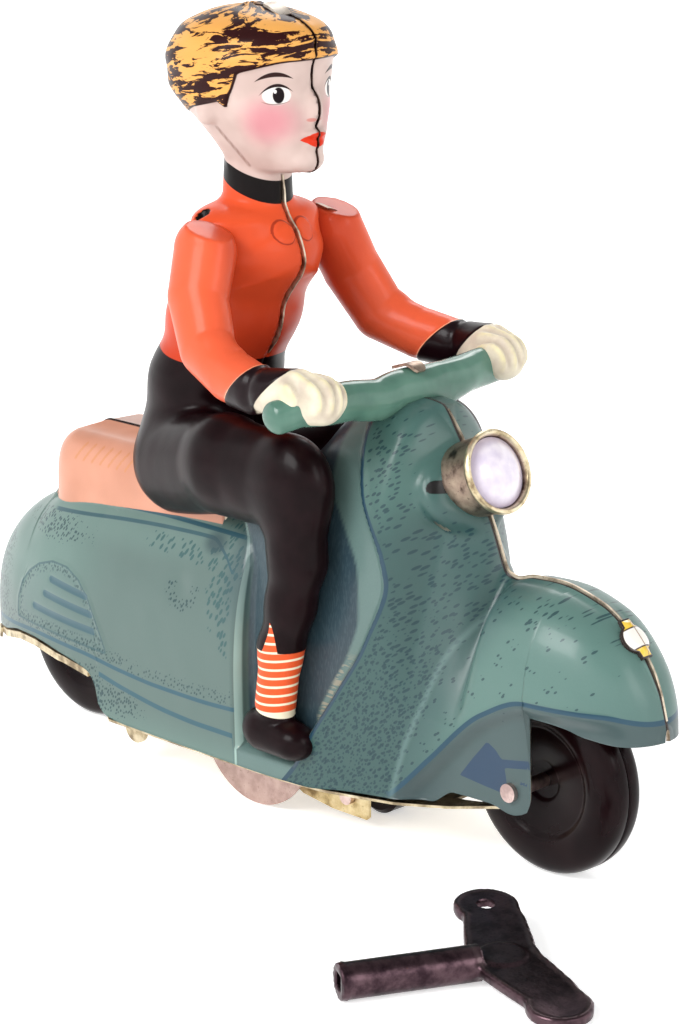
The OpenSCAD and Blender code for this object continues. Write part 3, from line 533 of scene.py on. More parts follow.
def litho_body():
    """Print of the two body pressings, with some painted shade and a painted highlight. Each attribute is a signed
    distance in millimetres from one printed line.
    """
    p = Paint("litho_body", 0.36, 0.0, 0.14, 0.1, 0.35)

    def dashes(width, length, slant):
        """Distance to the middle of scattered short strokes, in stroke sizes, measured on the side view."""
        n = p.node("ShaderNodeMapping", vector_type="TEXTURE")
        p.feed(n.inputs["Vector"], p.where)
        n.inputs["Scale"].default_value = (width * MM, 40 * MM, length * MM)
        n.inputs["Rotation"].default_value = (0, math.radians(slant), 0)
        return p.cells(n.outputs[0], 1.0, "Distance", 0.8)

    fine = dashes(0.6, 0.95, 35)
    strokes = dashes(0.72, 1.5, 50)
    big = dashes(0.85, 1.9, 30)
    dots = p.noise(p.space(), 4.2, 1.0)

    def ink_where(texture, density, size=0.62):
        return p.step(p.sub(p.mul(density, size), texture), 0.06, 0.05)

    grain = p.add(0.965, p.mul(dots, 0.07))
    cowl = p.mix(p.attr("wash"), ink(80, 98, 94), ink(98, 124, 117))
    # painted shade: the leg recess darkens towards its front and bottom
    recess = p.mix(p.attr("recess_shade"), ink(58, 76, 84), ink(32, 52, 62))
    weave = p.step(p.noise(p.space((3200, 3200, 700), (0, -30, 0)), 1.0, 1.0), 0.55, 0.08)
    recess = p.mix(p.mul(weave, 0.10), recess, ink(110, 130, 134))
    shield = p.mix(p.attr("shade"), ink(74, 108, 100), ink(52, 80, 78))
    fender = p.mix(p.attr("shade"), ink(92, 124, 116), ink(62, 90, 88))
    apron = p.mix(p.attr("shade"), ink(72, 90, 90), ink(50, 68, 70))
    salmon = p.mix(p.step(p.noise(p.space(), 0.08, 2.0), 0.5, 0.2), ink(208, 146, 120), ink(192, 132, 106))

    front = p.attr("front")
    c = cowl
    in_recess = p.step(p.mul(p.attr("cowl_front"), -1.0), 0.35, 0.12)
    c = p.mix(in_recess, c, recess)
    # light printed band along the floor, and a painted highlight up the legshield's raised edge
    floor_band_edge_highlight = p.low(p.attr("floor_band_edge_highlight"), 1.0)
    c = p.mix(p.mul(in_recess, floor_band_edge_highlight), c, p.dim(ink(92, 116, 112), grain))
    c = p.mix(p.mul(p.attr("strokes_tan"), p.step(p.noise(p.space((400, 400, 2600)), 1.0, 1.0), 0.52, 0.04)), c,
              ink(142, 138, 122))
    on_shield = p.step(p.attr("shield"), 1.1, 0.1)
    on_fender = p.mul(on_shield, p.step(p.attr("light"), 0.5, 2.6))
    c = p.mix(on_shield, c, shield)
    c = p.mix(on_fender, c, fender)
    below = p.mul(p.mul(on_shield, p.step(p.mul(p.attr("crease"), -1.0), 0.0, 0.1)), front)
    c = p.mix(below, c, apron)
    c = p.dim(c, grain)
    # stipple and strokes
    c = p.mix(p.mul(ink_where(fine, p.attr("fine")), 0.85), c, TEAL_DARK)
    c = p.mix(p.mul(ink_where(big, p.attr("coarse")), 0.85), c, ink(34, 78, 80))
    c = p.mix(p.mul(ink_where(strokes, p.attr("hatch"), 0.46), 0.75), c, ink(14, 48, 58))
    # printed lines, and painted shade on the cowl next to its front edge
    rear = p.sub(1.0, in_recess)
    c = p.mix(p.mul(rear, p.line(p.attr("line_a"), 0.0, 0.42)), c, ink(42, 82, 96))
    c = p.mix(p.mul(rear, p.line(p.attr("line_b"), 0.0, 0.5)), c, ink(44, 84, 96))
    c = p.mix(p.mul(rear, p.line(p.attr("cowl_front"), 0.35, 0.28)), c, ink(146, 172, 164))
    # painted shade on the cowl next to its front edge
    c = p.mix(p.mul(p.mul(rear, p.attr("edge_shade")), 0.55), c, ink(44, 70, 78))
    c = p.mix(p.line(p.attr("shield"), 1.0, 0.42), c, ink(32, 62, 78))
    c = p.mix(p.mul(front, p.line(p.attr("crease"), 0.0, 0.42)), c, ink(32, 68, 86))
    c = p.mix(p.mul(p.mul(front, p.line(p.attr("light"), 0.0, 0.5, 0.6)), 0.3), c, ink(124, 152, 148))
    # vent with its louvres
    vent = p.attr("vent")
    c = p.mix(p.mul(p.step(vent, 0.0, 0.1), 0.35), c, ink(86, 110, 108))
    ring = p.mul(p.step(vent, 0.0, 0.1), p.step(p.mul(vent, -1.0), -1.7, 0.5))
    c = p.mix(p.mul(p.mul(ring, ink_where(fine, 0.72)), 0.7), c, TEAL_DARK)
    c = p.mix(p.mul(p.line(vent, 0.0, 0.2), 0.75), c, ink(46, 80, 86))
    c = p.mix(p.mul(p.step(p.attr("louvre"), 0.0, 0.1), 0.85), c, ink(50, 84, 96))
    # window and stripes on the fork lobe
    c = p.mix(p.step(p.attr("window"), 0.0, 0.08), c, ink(38, 62, 86))
    # the seat, the two lines under it, and painted shade in the corner at the seat's front
    seat = p.step(p.attr("seat"), 0.05, 0.05)
    c = p.mix(p.mul(p.line(p.attr("seat_low"), 0.0, 0.32), p.attr("seat_range")), c, ink(44, 80, 88))
    c = p.mix(p.mul(p.line(p.attr("seat_high"), 0.0, 0.36), p.attr("seat_range")), c, ink(34, 72, 84))
    # painted shade darkens the corner at the seat's front
    c = p.mix(p.mul(p.attr("corner_shade"), 0.8), c, ink(34, 60, 66))
    stitch = p.step(p.attr("seat_marks"), 0.0, 0.1)
    salmon = p.mix(p.mul(stitch, 0.7), salmon, ink(196, 130, 84))
    c = p.mix(seat, c, p.dim(salmon, grain))
    # painted shade: the slot by the lamp is only a shallow dent, painted near-black for its dark inside
    hole = p.step(p.attr("hole"), 0.0, 0.08)
    c = p.mix(hole, c, ink(8, 5, 5))
    # thin dark cut edge along the seam
    c = p.mix(p.sub(1.0, p.step(p.attr("seam"), 0.34, 0.1)), c, ink(38, 26, 24))
    nick = p.step(p.noise(p.space(), 1.7, 4.0, 0.8), 0.77, 0.012)
    c = p.mix(p.mul(nick, 0.6), c, ink(60, 60, 56))
    p.dents(0.3)
    return p.done(c)


BODY_PRINT = litho_body()


# ------------------------------------------------------------------ printed lines of the body, (x, z) in millimetres
line_a = curve([(-80, 20.4), (-73.9, 21.0), (-57.2, 22.3), (-44.2, 21.9), (-31.9, 20.6), (-20.9, 19.9), (-10, 19.8),
                (3, 20.3)])
line_b = curve([(-38.6, 18.6), (-30.2, 17.0), (-17.4, 15.4), (-8.4, 15.0), (3, 15.0)])
light_x = curve([(10, 38), (21.9, 41.6), (29.4, 44.8), (38.1, 47.1), (44.5, 50.6), (50, 54.2), (54, 56)])
seat_low_line = curve([(-58, 46.9), (-44.8, 48.1), (-33.8, 49.1), (-21.8, 49.9), (-9.9, 50.3), (-5, 48.2), (-2, 45.6)])
seat_high_line = curve([(-60, 49.6), (-43.7, 50.6), (-32.5, 51.2), (-22.4, 51.6), (-10, 51.7)])
VENT = [(-66.6, 23.8), (-66.2, 27.6), (-64.4, 31.4), (-61.6, 34.2), (-58, 36.4), (-53.2, 37.9), (-48.3, 37.8),
        (-44.4, 36.1), (-41.2, 33), (-38.6, 29), (-36.6, 25.4), (-35.6, 23.2), (-45, 23.6), (-56, 23.9)]
LOUVRES = [((-53.3, 34.3), (-42.0, 33.2)), ((-55.4, 31.0), (-40.4, 29.9)), ((-59.5, 27.6), (-39.4, 26.7))]
WINDOW = [(57.6, 25.6), (54.2, 21.6), (51.4, 18.0), (57, 17.2), (62.2, 16.7), (62.0, 19.6), (61.4, 22.4), (59.6, 24.4)]
band_inner = curve([(11, 14), (14.6, 18.2), (22.7, 19.2), (29.7, 23.2), (36, 27.0), (43.5, 29.6), (51.5, 29.0),
                    (58.2, 25.5), (65.2, 20.4)])


def slope_scale(f, u):
    return 1.0 / np.hypot(1.0, (f(u + 0.1) - f(u - 0.1)) / 0.2)


def print_fields(x, y, z):
    """Every printed line, patch and density of the body, and its painted shade and highlight, at the given places on
    its skin.
    """
    f = {}
    f["seam"] = y
    f["cowl_front"] = (cowl_edge(z) - x) * slope_scale(cowl_edge, z)
    f["cowl_front"] = np.where(x < -12, 9.0, f["cowl_front"])
    f["cowl_front"] = np.where(z < SILL_Z - 0.2, np.minimum(f["cowl_front"], 1.5 - x), f["cowl_front"])
    f["shield"] = (x - shield_edge(z)) * slope_scale(shield_edge, z)
    f["line_a"] = np.where(x < 1.2, z - line_a(x), 9.0)
    f["line_b"] = np.where((x < 0.8) & (x > -38.6), z - line_b(x), 9.0)
    f["light"] = (x - light_x(z)) * slope_scale(light_x, z)
    f["crease"] = (z - crease_line(x)) * slope_scale(crease_line, x)
    f["front"] = ease((x - 37) / 1.5)
    f["crease"] = np.where(x < 38, z - 12.4, f["crease"])
    f["seat"] = np.where(x > -9.0, -1.0, np.where(z < 44, -1.0, seat_y(x, z) - cowl_y(x, z)))
    f["seat_low"] = z - seat_low_line(x)
    f["seat_high"] = z - seat_high_line(x)
    f["seat_range"] = ease((x + 58.5) / 2) * ease((-0.5 - x) / 2)
    # painted shade in the corner at the seat's front
    f["corner_shade"] = blob(x, z, -8.5, 49.6, 3.4, 2.2)
    f["vent"] = polygon_distance(x, z, VENT)
    f["louvre"] = np.max([stroke_distance(x, z, a, b, 0.72) for a, b in LOUVRES], 0)
    stripe = np.maximum(stroke_distance(x, z, (60.9, 22.3), (67.2, 23.4), 0.75),
                        stroke_distance(x, z, (65.2, 19.7), (67.6, 19.5), 0.3))
    f["window"] = np.maximum(polygon_distance(x, z, WINDOW), stripe)
    # painted shade: the slot by the lamp
    f["hole"] = stroke_distance(x, z, (41.9, 68.2), (44.5, 68.0), 1.05)
    f["hole"] = np.maximum(f["hole"], stroke_distance(x, z, (-11.4, 39.6), (-11.3, 39.6), 0.01))
    marks = [stroke_distance(x, z, (a, 60.8), (a - 2.2, 57.6), 0.3) for a in np.arange(-50.5, -34, 2.5)]
    f["seat_marks"] = np.max(marks, 0)
    # tones, with painted shade in the leg recess and on the cowl next to its front edge, and a painted highlight up
    # the legshield's edge
    f["wash"] = np.clip(0.25 + 0.7 * blob(x, z, -62, 42, 24, 16) + 0.5 * blob(x, z, -30, 50, 26, 6)
                        + 0.6 * ease((16 - z) / 8), 0, 1)
    # painted shade, darker towards the front and bottom of the leg recess
    f["recess_shade"] = np.clip((x - 2) / 26 * 0.6 + (60 - z) / 60 * 0.5, 0, 1)
    f["edge_shade"] = ease((x + 6) / 6) * ease((z - 30) / 18)
    # printed floor band, and a painted highlight up the legshield's raised edge
    f["floor_band_edge_highlight"] = np.where(z < SILL_Z + 1.2, ease((14.8 - z) / 0.6),
                         ease((x - band_inner(z)) / 0.8))
    f["strokes_tan"] = ease((x - band_inner(z)) / 0.8) * ease((z - 19) / 2) * ease((37 - z) / 4) * (x > 8) * (x < 34)
    f["shade"] = np.clip(0.95 - 0.55 * blob(x, z, 33, 72, 14, 12) - 0.75 * ease((x - light_x(z) - 2) / 10)
                         + 0.3 * ease((x - 70) / 16) * ease((44 - z) / 12), 0, 1)
    # densities of the stippled shading
    in_cowl = (f["cowl_front"] > 0.6) & (f["seat"] < 0)
    tail = np.maximum(ease((-66 - x) / 9) * ease((44 - z) / 6), blob(x, z, -56, 44.5, 17, 3.6))
    over_a = ease((line_a(x) + 5.2 - z) / 3.2) * (z > line_a(x) + 0.4) * ease((x + 74) / 8)
    under_b = blob(x, z, -32.5, 14, 9.5, 4.4) * (z < line_b(x)) + 0.9 * ease((-36 - x) / 4) * (z < 20) * (x > -46)
    dimple = ease(1 - np.abs(np.hypot(x + 14.5, z - 40.4) - 3.4) / 2.4) * (z < 41.5)
    f["fine"] = in_cowl * np.clip(0.75 * tail + 0.62 * over_a + 0.72 * under_b + 0.8 * dimple, 0, 0.85)
    wedge = ease((x - (-9.5 + 6.2 * ease((38 - z) / 10))) / 3) * ease((z - 27.5) / 3)
    top_rim = ease((z - (44.6 - 0.05 * (x + 20))) / 1.6) * ease((x + 32) / 8) * (z < 49)
    f["coarse"] = in_cowl * np.clip(np.maximum(wedge * (x < -0.3), top_rim) * 0.72, 0, 0.75)
    on_shield = f["shield"] > 1.6
    upper = (f["crease"] > 0.5) | (x < 38)
    column = 0.92 - 0.9 * blob(x, z, 42.5, 71, 6.5, 8.5) - 0.35 * ease((z - 76) / 4)
    guard = np.clip(0.1 + 0.55 * ease((z - (49 - 0.2 * np.maximum(x - 55, 0))) / 2.5), 0, 1)
    clusters = np.cos(2 * math.pi * (x + 0.35 * z) / 7.2) * np.cos(2 * math.pi * z / 6.4)
    guard = guard + 0.75 * ease((clusters - 0.1) / 0.6) * ease((86 - x) / 8)
    hatch = np.where(f["light"] > 1.5, guard, column)
    f["hatch"] = on_shield * upper * np.clip(hatch, 0, 1)
    lobe = blob(x, z, 64, 31.5, 4.6, 3.4) * (x > 57)
    f["hatch"] = f["hatch"] + (f["crease"] < -0.5) * on_shield * (x > 40) * 0.5 * lobe
    f["fine"] = f["fine"] + on_shield * upper * (x < light_x(z)) * 0.55 * ease((62 - z) / 30)
    return f


def body_half(name, side, node):
    """One pressing: fine printed outer skin, bare tin inside and round its cut edge."""
    step = 0.62
    xs = np.unique(np.concatenate([np.linspace(TAIL_X, -84, 12), np.arange(-84, 85, step), np.linspace(85, NOSE_X, 14),
                                   [-64.3, -64.2, -9.05, -8.95, 67.45, 67.52, 67.6]]))
    rows = 104
    s = np.linspace(0, 1, rows + 1)
    share = 0.72 * s + 0.28 * np.sin(0.5 * math.pi * s)
    x0 = np.repeat(xs[:, None], rows + 1, 1)
    low, crown = low_edge(x0), top_line(x0)
    mid, half = (TAIL_X + NOSE_X) / 2, (NOSE_X - TAIL_X) / 2

    def skin(g):
        x = mid + (x0 - mid) * (1 - g / half)
        z = low + (crown - 1.2 * g - low) * share
        y = np.maximum(body_y(x0, low + (crown - low) * share) - g, 0.12)
        y[:, -1] = 0
        return x, y + 0.02, z

    x, y, z = skin(0.0)
    # shallow pressed relief: vent bead, louvres, shield bead, seat roll and the dent in the cowl
    vent = polygon_distance(x, z, VENT)
    relief = 0.22 * ease(1 - np.abs(vent + 0.1) / 0.7)
    for a, b in LOUVRES:
        relief -= 0.25 * ease(0.5 + stroke_distance(x, z, a, b, 0.6))
    relief -= 0.45 * np.exp(-((x + 15) ** 2 + (z - 40.5) ** 2) / 7.0) * (z > 30)
    shield = (x - shield_edge(z)) * slope_scale(shield_edge, z)
    relief += 0.3 * ease(1 - np.abs(shield - 1.2) / 1.2) * (x > 8) * (x < 40) * (z > SILL_Z)
    relief -= 0.4 * ease(1 - np.abs(z - crease_line(x)) / 0.9) * ease((x - 40) / 4) * ease((86 - x) / 4)
    relief += 0.25 * np.exp(-((x + 33) ** 2) / 3.0 - ((z - 57) ** 2) / 14.0) * (seat_y(x, z) > 4)
    relief -= 0.3 * ease(0.5 + stroke_distance(x, z, (41.9, 68.2), (44.5, 68.0), 1.05) / 0.7)
    y = np.where(y > 1.5, y + relief, y)
    outer = np.stack([x, side * y, z], 2).reshape(-1, 3)
    inner = np.stack([a if k != 1 else side * a for k, a in enumerate(skin(TIN))], 2).reshape(-1, 3)
    n, m = x.shape
    k = n * m
    idx = np.arange(k).reshape(n, m)
    left = side > 0
    rims = [strip_faces(idx[:, 0], idx[:, 0] + k, left), strip_faces(idx[:, -1], idx[:, -1] + k, not left),
            strip_faces(idx[0], idx[0] + k, not left), strip_faces(idx[-1], idx[-1] + k, left)]
    faces = np.concatenate([grid_faces(n, m, 0, left), grid_faces(n, m, k, not left)] + rims)
    slots = np.concatenate([np.zeros((n - 1) * (m - 1)), np.ones((n - 1) * (m - 1)),
                            np.ones(sum(len(r) for r in rims))])
    fields = print_fields(outer[:, 0], np.abs(outer[:, 1]), outer[:, 2])
    fields = {key: np.concatenate([v, np.zeros(k)]) for key, v in fields.items()}
    obj = add_mesh(name, np.concatenate([outer, inner]), faces, [BODY_PRINT, EDGE], True, fields, slots)
    return place(obj, "chassis", "body_paint", node)


def lip(name, points, body, slot, material, y0=-0.1, y1=0.42, rise=0.5, sink=0.4):
    """Narrow raised tin edge that follows a line of (x, z) points on the centre plane."""
    p = np.array(points, float)
    t = np.gradient(p, axis=0)
    t /= np.linalg.norm(t, axis=1, keepdims=True)
    nrm = np.stack([-t[:, 1], t[:, 0]], 1)
    ends = ease(np.minimum(np.arange(len(p)), np.arange(len(p))[::-1]) / 6.0)
    ring = []
    for off, y in ((-sink, y0), (rise * 0.8, y0), (rise, y0 + 0.12), (rise, y1 - 0.12), (rise * 0.8, y1), (-sink, y1)):
        o = np.where(off > 0, off * ends, off)[:, None] if off > 0 else off
        q = p + nrm * o
        ring.append(np.stack([q[:, 0], np.full(len(p), y), q[:, 1]], 1))
    v = np.stack(ring, 1)
    n, m = v.shape[:2]
    idx = np.arange(n * m).reshape(n, m)
    faces = [np.stack([idx[:-1, j], idx[1:, j], idx[1:, (j + 1) % m], idx[:-1, (j + 1) % m]], 1) for j in range(m)]
    faces = [tuple(f) for f in np.concatenate(faces)] + [tuple(idx[0]), tuple(idx[-1][::-1])]
    obj = add_mesh(name, v.reshape(-1, 3), faces, [material])
    return place(sharp_edges(obj), body, slot)


body_half("body_print_right", -1, "body_shell_right")
body_half("body_print_left", 1, "body_shell_left")
lip_x = np.concatenate([np.arange(37.2, 56, 0.5), np.arange(56, 88.6, 0.6)])
lip("seam_edge_front", np.stack([lip_x, top_line(lip_x)], 1), "chassis", "trim_paint", EDGE, 0.05, 0.5, 0.55)
lip_x = np.arange(-62, -9.5, 0.8)
DARK_EDGE = worn_metal("dark_edge", ink(52, 36, 34), ink(24, 16, 16), ink(96, 74, 66), 0.4)
lip("seam_edge_seat", np.stack([lip_x, top_line(lip_x)], 1), "chassis", "trim_paint", DARK_EDGE, 0.05, 0.4, 0.25)


# ------------------------------------------------------------------ wheels, discs and axles
def wheel_half(name, side, x, body, node):
    h, r = 4.5, 17.5
    outer = [(1.35, h - 1.6), (3.2, h - 1.6), (3.6, h - 1.45), (4.2, h - 1.1), (9.4, h - 1.1), (10.0, h - 0.95),
             (10.6, h - 0.4), (11.2, h - 0.15), (12.2, h), (13.2, h - 0.02), (14.4, h - 0.2), (15.2, h - 0.38),
             (15.9, h - 0.62), (16.5, h - 1.0), (17.0, h - 1.55), (17.3, h - 2.15), (17.46, h - 2.9), (17.5, 0.5),
             (17.42, 0.28), (17.2, 0.1), (17.0, 0.03)]
    inner = [(17.0, 1.4), (16.9, h - 3), (16.5, h - 2.0), (15.5, h - 1.1), (12.5, h - 0.55), (10.9, h - 0.85),
             (9.8, h - 1.62), (4.0, h - 1.62), (3.2, h - 2.1), (1.35, h - 2.1)]
    slots = [0] * len(outer) + [1] * len(inner)
    obj = lathe(name, outer + inner, (x, 0, r), (0, side, 0), [WHEEL, BARE], 160, slots)
    return place(obj, body, "wheel_black", node)


for at, body in ((63.0, "front_wheel"), (-63.0, "rear_wheel")):
    for side, word in ((-1, "right"), (1, "left")):
        wheel_half(f"{body}_enamel_{word}", side, at, body, f"{body}_{word}_half")


# ------------------------------------------------------------------ lamp
LAMP_POS, LAMP_TILT = (49.9, 0, 70.8), math.radians(21.8)
LAMP_AXIS = (math.cos(LAMP_TILT), 0, math.sin(LAMP_TILT))
cup = [(7.25, 0.1), (7.5, 0.02), (7.66, -0.25), (7.7, -0.6), (7.62, -0.95), (7.4, -1.2), (7.18, -1.34), (7.12, -1.7),
       (7.1, -3.4), (7.02, -7.9), (6.5, -7.9), (6.5, -4.4), (2, -4.3), (2, -3.9), (6.35, -3.9), (6.4, -1.6),
       (6.55, -0.6), (6.75, -0.1), (7.0, 0.1)]
rim_slots = [1] * 6 + [0] * 8 + [0] * 2 + [1] * 3
place(lathe("lamp_barrel", cup, LAMP_POS, LAMP_AXIS, [LAMP_TIN, LAMP_RIM], 128, rim_slots), "chassis", "bare_tin",
      "headlamp_cup")


def lens_paint():
    p = Paint("lamp_glass", 0.16, 0.0, 0.6, 0.04)
    cloud = p.noise(p.space(), 0.35, 3.0)
    edge = p.step(p.attr("rim"), 0.82, 0.14)
    c = p.mix(p.step(cloud, 0.5, 0.25), ink(238, 230, 238), ink(214, 204, 222))
    c = p.mix(p.mul(edge, 0.6), c, ink(176, 160, 186))
    p.bumps(p.noise(p.space(), 1.2, 2.0), 0.05, 0.0002)
    return p.done(c)


LENS_R = 6.35
lens_profile = [(0.0, 1.35)] + [(LENS_R * t, 1.35 - 2.35 * t**2.2) for t in np.linspace(0.08, 1, 22)]
lens_profile += [(LENS_R, -1.6), (0, -1.6)]
lens = lathe("lamp_lens", lens_profile, LAMP_POS, LAMP_AXIS, [lens_paint()], 96)
co = np.array([v.co for v in lens.data.vertices]) / MM - np.array(LAMP_POS)
off = co - np.outer(co @ np.array(LAMP_AXIS), LAMP_AXIS)
lens.data.attributes.new("rim", "FLOAT", "POINT").data.foreach_set(
    "value", (np.linalg.norm(off, axis=1) / LENS_R).astype(np.float32))
place(lens, "chassis", "lens", "headlamp_lens")


# ------------------------------------------------------------------ rider
TORSO = [[-27, -2, 63, 13.5, 12, 11.5], [-24.3, 0, 77, 11.6, 12.6, 8.5], [-18.6, 0, 90, 11.8, 12.4, 8],
         [-12.5, 0, 103, 12.6, 13.5, 8], [-12, -3, 109, 8.5, 10.5, 3.5]]
NECK = [[-11.8, 0, 106, 8.2, 7.4, 4], [-11.2, 0, 113, 6.8, 6.3, 4], [-10.8, 0, 122, 6.3, 6.0, 4]]
LEG = [[-24, -9, 61, 11, 9, 10], [-3, -16.5, 66, 9, 7.4, 9.4], [17.2, -19.4, 65.6, 9, 5.6, 9.8],
       [18.8, -20, 53, 6, 4.6, 6], [16.8, -20, 44, 4.8, 4.4, 5], [13.8, -20, 34.5, 4.5, 4.1, 5],
       [12, -20, 24, 4.6, 4, 4]]
SHOE = [[9.6, -20, 18.6, 5.2, 4.1, 4.4], [16.4, -20, 17.8, 4.8, 3.9, 3.6]]
ARM = [[-8.2, -16, 104.8, 6.6, 5, 6.4], [-6.8, -19.3, 97, 6.4, 4.8, 6.1], [-1.8, -21.7, 88.8, 5.9, 4.6, 5.7],
       [6.5, -23.8, 85.5, 5, 4.3, 5], [14, -25, 84.6, 4.3, 4, 4.5]]
HAND = [[18.6, -25.4, 84.6, 4.2, 3.8, 4.3], [25, -24.4, 84.4, 5.0, 4.4, 5.2], [29.4, -23, 84.2, 4.0, 4.6, 4.5]]
BAR = [[28, 0, 82, 3.8, 4, 4.2], [28, 8, 81.6, 3.6, 4, 4.2], [27.4, 14, 82.4, 3.4, 4, 3.6],
       [27, 20, 82.6, 3.2, 3, 3.6], [26.7, 26, 82.6, 2.6, 2.4, 3], [24.2, 29, 81.6, 3.4, 1.6, 3]]
HEAD_X = -12.0
head_front = curve([(117.2, -8), (118.2, 0.0), (119.0, 3.4), (120.4, 4.5), (122.3, 4.8), (125.2, 4.9), (127.2, 4.6),
                    (130, 4.4), (132.6, 4.1), (135, 4.0), (137.4, 4.2), (140, 4.9), (142.4, 4.7), (144.2, 3.4),
                    (145.8, 1.0), (147, -3), (147.8, -8), (148.1, -11.9)])
head_back = curve([(117.2, -13.6), (120, -15), (124, -17.8), (128, -22.4), (131.5, -26.8), (136, -28.8), (140, -28.4),
                   (143.5, -26), (146, -22), (147.5, -17), (148.1, -12.1)])
head_half = curve([(117.2, 3.4), (118.4, 4.9), (120.4, 6.4), (123, 8.0), (126, 9.9), (130, 12.1), (134, 13.4),
                   (138, 13.7), (141.5, 12.9), (144.5, 10.6), (146.5, 7.4), (147.7, 3.8), (148.1, 0.15)])
HAIR = [(9, 139.4), (3.6, 139.2), (2.6, 139.0), (0.2, 138.3), (-3.2, 137.3), (-4.4, 134.2), (-6.2, 130.8),
        (-7.6, 132.0), (-10.1, 131.4), (-14.6, 130.4), (-18, 129.2), (-24, 127.0), (-36, 126.5), (-36, 153), (9, 153)]


def head_distance(x, y, z):
    a = np.where(x > HEAD_X, head_front(z) - HEAD_X, HEAD_X - head_back(z))
    b = head_half(z)
    a, b = np.maximum(a, 0.1), np.maximum(b, 0.1)
    d = (np.sqrt(((x - HEAD_X) / a) ** 2 + (y / b) ** 2) - 1) * np.minimum(a, b)
    hair = polygon_distance(x, z, HAIR)
    waves = np.sin(z * 1.1 + 0.5 * np.sin(x * 0.5 + y * 0.3)) * 0.16
    d = d - ease(hair / 0.5 + 0.5) * (0.5 + waves)
    d = melt(d, bump(x, y, z, (4.0, 0, 130.4), (2.1, 1.5, 3.0)), 1.3)
    d = melt(d, bump(x, y, z, (4.4, 0, 125.8), (1.5, 2.6, 0.9)), 0.5)
    d = melt(d, bump(x, y, z, (4.2, 0, 124.0), (1.3, 2.2, 1.0)), 0.5)
    d = melt(d, bump(x, y, z, (2.6, 0, 120.8), (2.4, 3.0, 2.0)), 1.0)
    d = melt(d, bump(x, y, z, (-11.8, -11.4, 129.6), (2.2, 1.7, 2.5)), 1.0)
    d = d + 0.35 * np.exp(-((y + 6.4) ** 2) / 7 - ((z - 133.2) ** 2) / 5) * (x > -4)
    return np.maximum(d, np.maximum(z - 148.4, 117.0 - z))


def figure_distance(x, y, z):
    """The right half of the figure, without its arm."""
    d = chain_distance(TORSO, x, y, z, 5.0) + 0.5
    d = melt(d, chain_distance(LEG, x, y, z, 2.0) + 0.2, 3.0)
    shoe = np.maximum(chain_distance(SHOE, x, y, z), 14.6 - z)
    d = melt(d, shoe, 0.8)
    d = melt(d, chain_distance(NECK, x, y, z), 1.6)
    d = melt(d, head_distance(x, y, z), 0.9)
    # trouser hem and shoe edge stand proud of the sock
    sock = ease((35.4 - z) / 0.3) * ease((z - 22.3) / 0.3) * (x > 2)
    d = d + 0.3 * sock
    # fold behind the knee
    d = d + 0.5 * np.exp(-((x - 8.5) ** 2) / 10 - ((z - 57) ** 2) / 5) * (y < -15)
    # chest tab, shoulder slot and flat sole
    tab = np.hypot(y + 2.6, (z - 107.3) * 1.05) - 2.2
    d = d - 0.4 * ease(-tab / 0.3 + 0.5) * (x > -8) * (z < 112)
    d = np.maximum(d, -bump(x, y, z, (-13.9, -11.6, 111.2), (1.5, 1.5, 2.3)))
    d = np.maximum(d, 14.6 - z)
    return np.maximum(d, y + 0.02)


def arm_distance(x, y, z):
    d = chain_distance(ARM, x, y, z)
    d = np.maximum(d, (z - 109.2) * 0.9 + (x + 8) * 0.25)
    hand = chain_distance(HAND, x, y, z)
    fingers = np.cos(2 * math.pi * (y + 24.2 - 0.12 * (z - 84)) / 2.15)
    hand = hand - 0.32 * fingers * ease((x - 22.5) / 4) * ease((z - 81.5) / 3)
    hand = melt(hand, bump(x, y, z, (24.5, -20.8, 81.4), (3.4, 1.7, 2.2)), 0.8)
    d = melt(d, hand + 0.25, 0.5)
    cuff = (x - 12.65) * 0.729 - (z - 85.95) * 0.684
    d = d - 0.3 * ease((0.15 - np.abs(cuff - 3.0) + 3.0) / 0.3) * (x > 0)
    # crease at the elbow
    return d + 0.4 * np.exp(-((x - 4.6) ** 2) / 5 - ((z - 90.8) ** 2) / 6)


def figure_fields(x, y, z):
    f = {}
    f["hair"] = np.where(z > 125, polygon_distance(x, z, HAIR), -9.0)
    f["face_s"] = 15.0 * np.arctan2(np.abs(y), x - HEAD_X)
    f["collar_top"] = z - (116.2 + 0.4 * (-4.3 - x))
    f["collar_low"] = z - (112.0 + 0.42 * (-4.4 - x))
    f["waist"] = z - curve([(-42, 84.4), (-30, 83.6), (-23, 82.3), (-18, 81.7), (-8, 82.4), (4, 84)])(x)
    slit = polygon_distance(x, z, [(15.9, 41.8), (13.4, 35.0), (16.9, 34.6)])
    hem = np.maximum(35.4 - z, np.where(y < -20.5, slit, -9.0))
    f["sock"] = np.where((x > 2) & (y < -12), np.minimum(hem, z - (21.9 + 0.13 * (18 - x))), -9.0)
    f["tab"] = np.where((x > -8) & (z < 112) & (z > 102), 2.2 - np.hypot(y + 2.6, (z - 107.3) * 1.05), -9.0)
    # painted shade: the shoulder slot's hollow is painted near-black
    f["slot"] = -bump(x, y, z, (-13.9, -11.6, 111.2), (1.7, 1.7, 2.5))
    # painted shade: the jacket darkens towards its lower front
    f["jacket_shade"] = np.clip(0.75 * ease((98 - z) / 16) + 0.4 * ease((x + 14) / 12) * ease((108 - z) / 14), 0, 1)
    f["jaw"] = stroke_distance(x, z, (-10.4, 126.6), (-7.2, 119.6), 0.3)
    f["seam"] = np.abs(y)
    return f


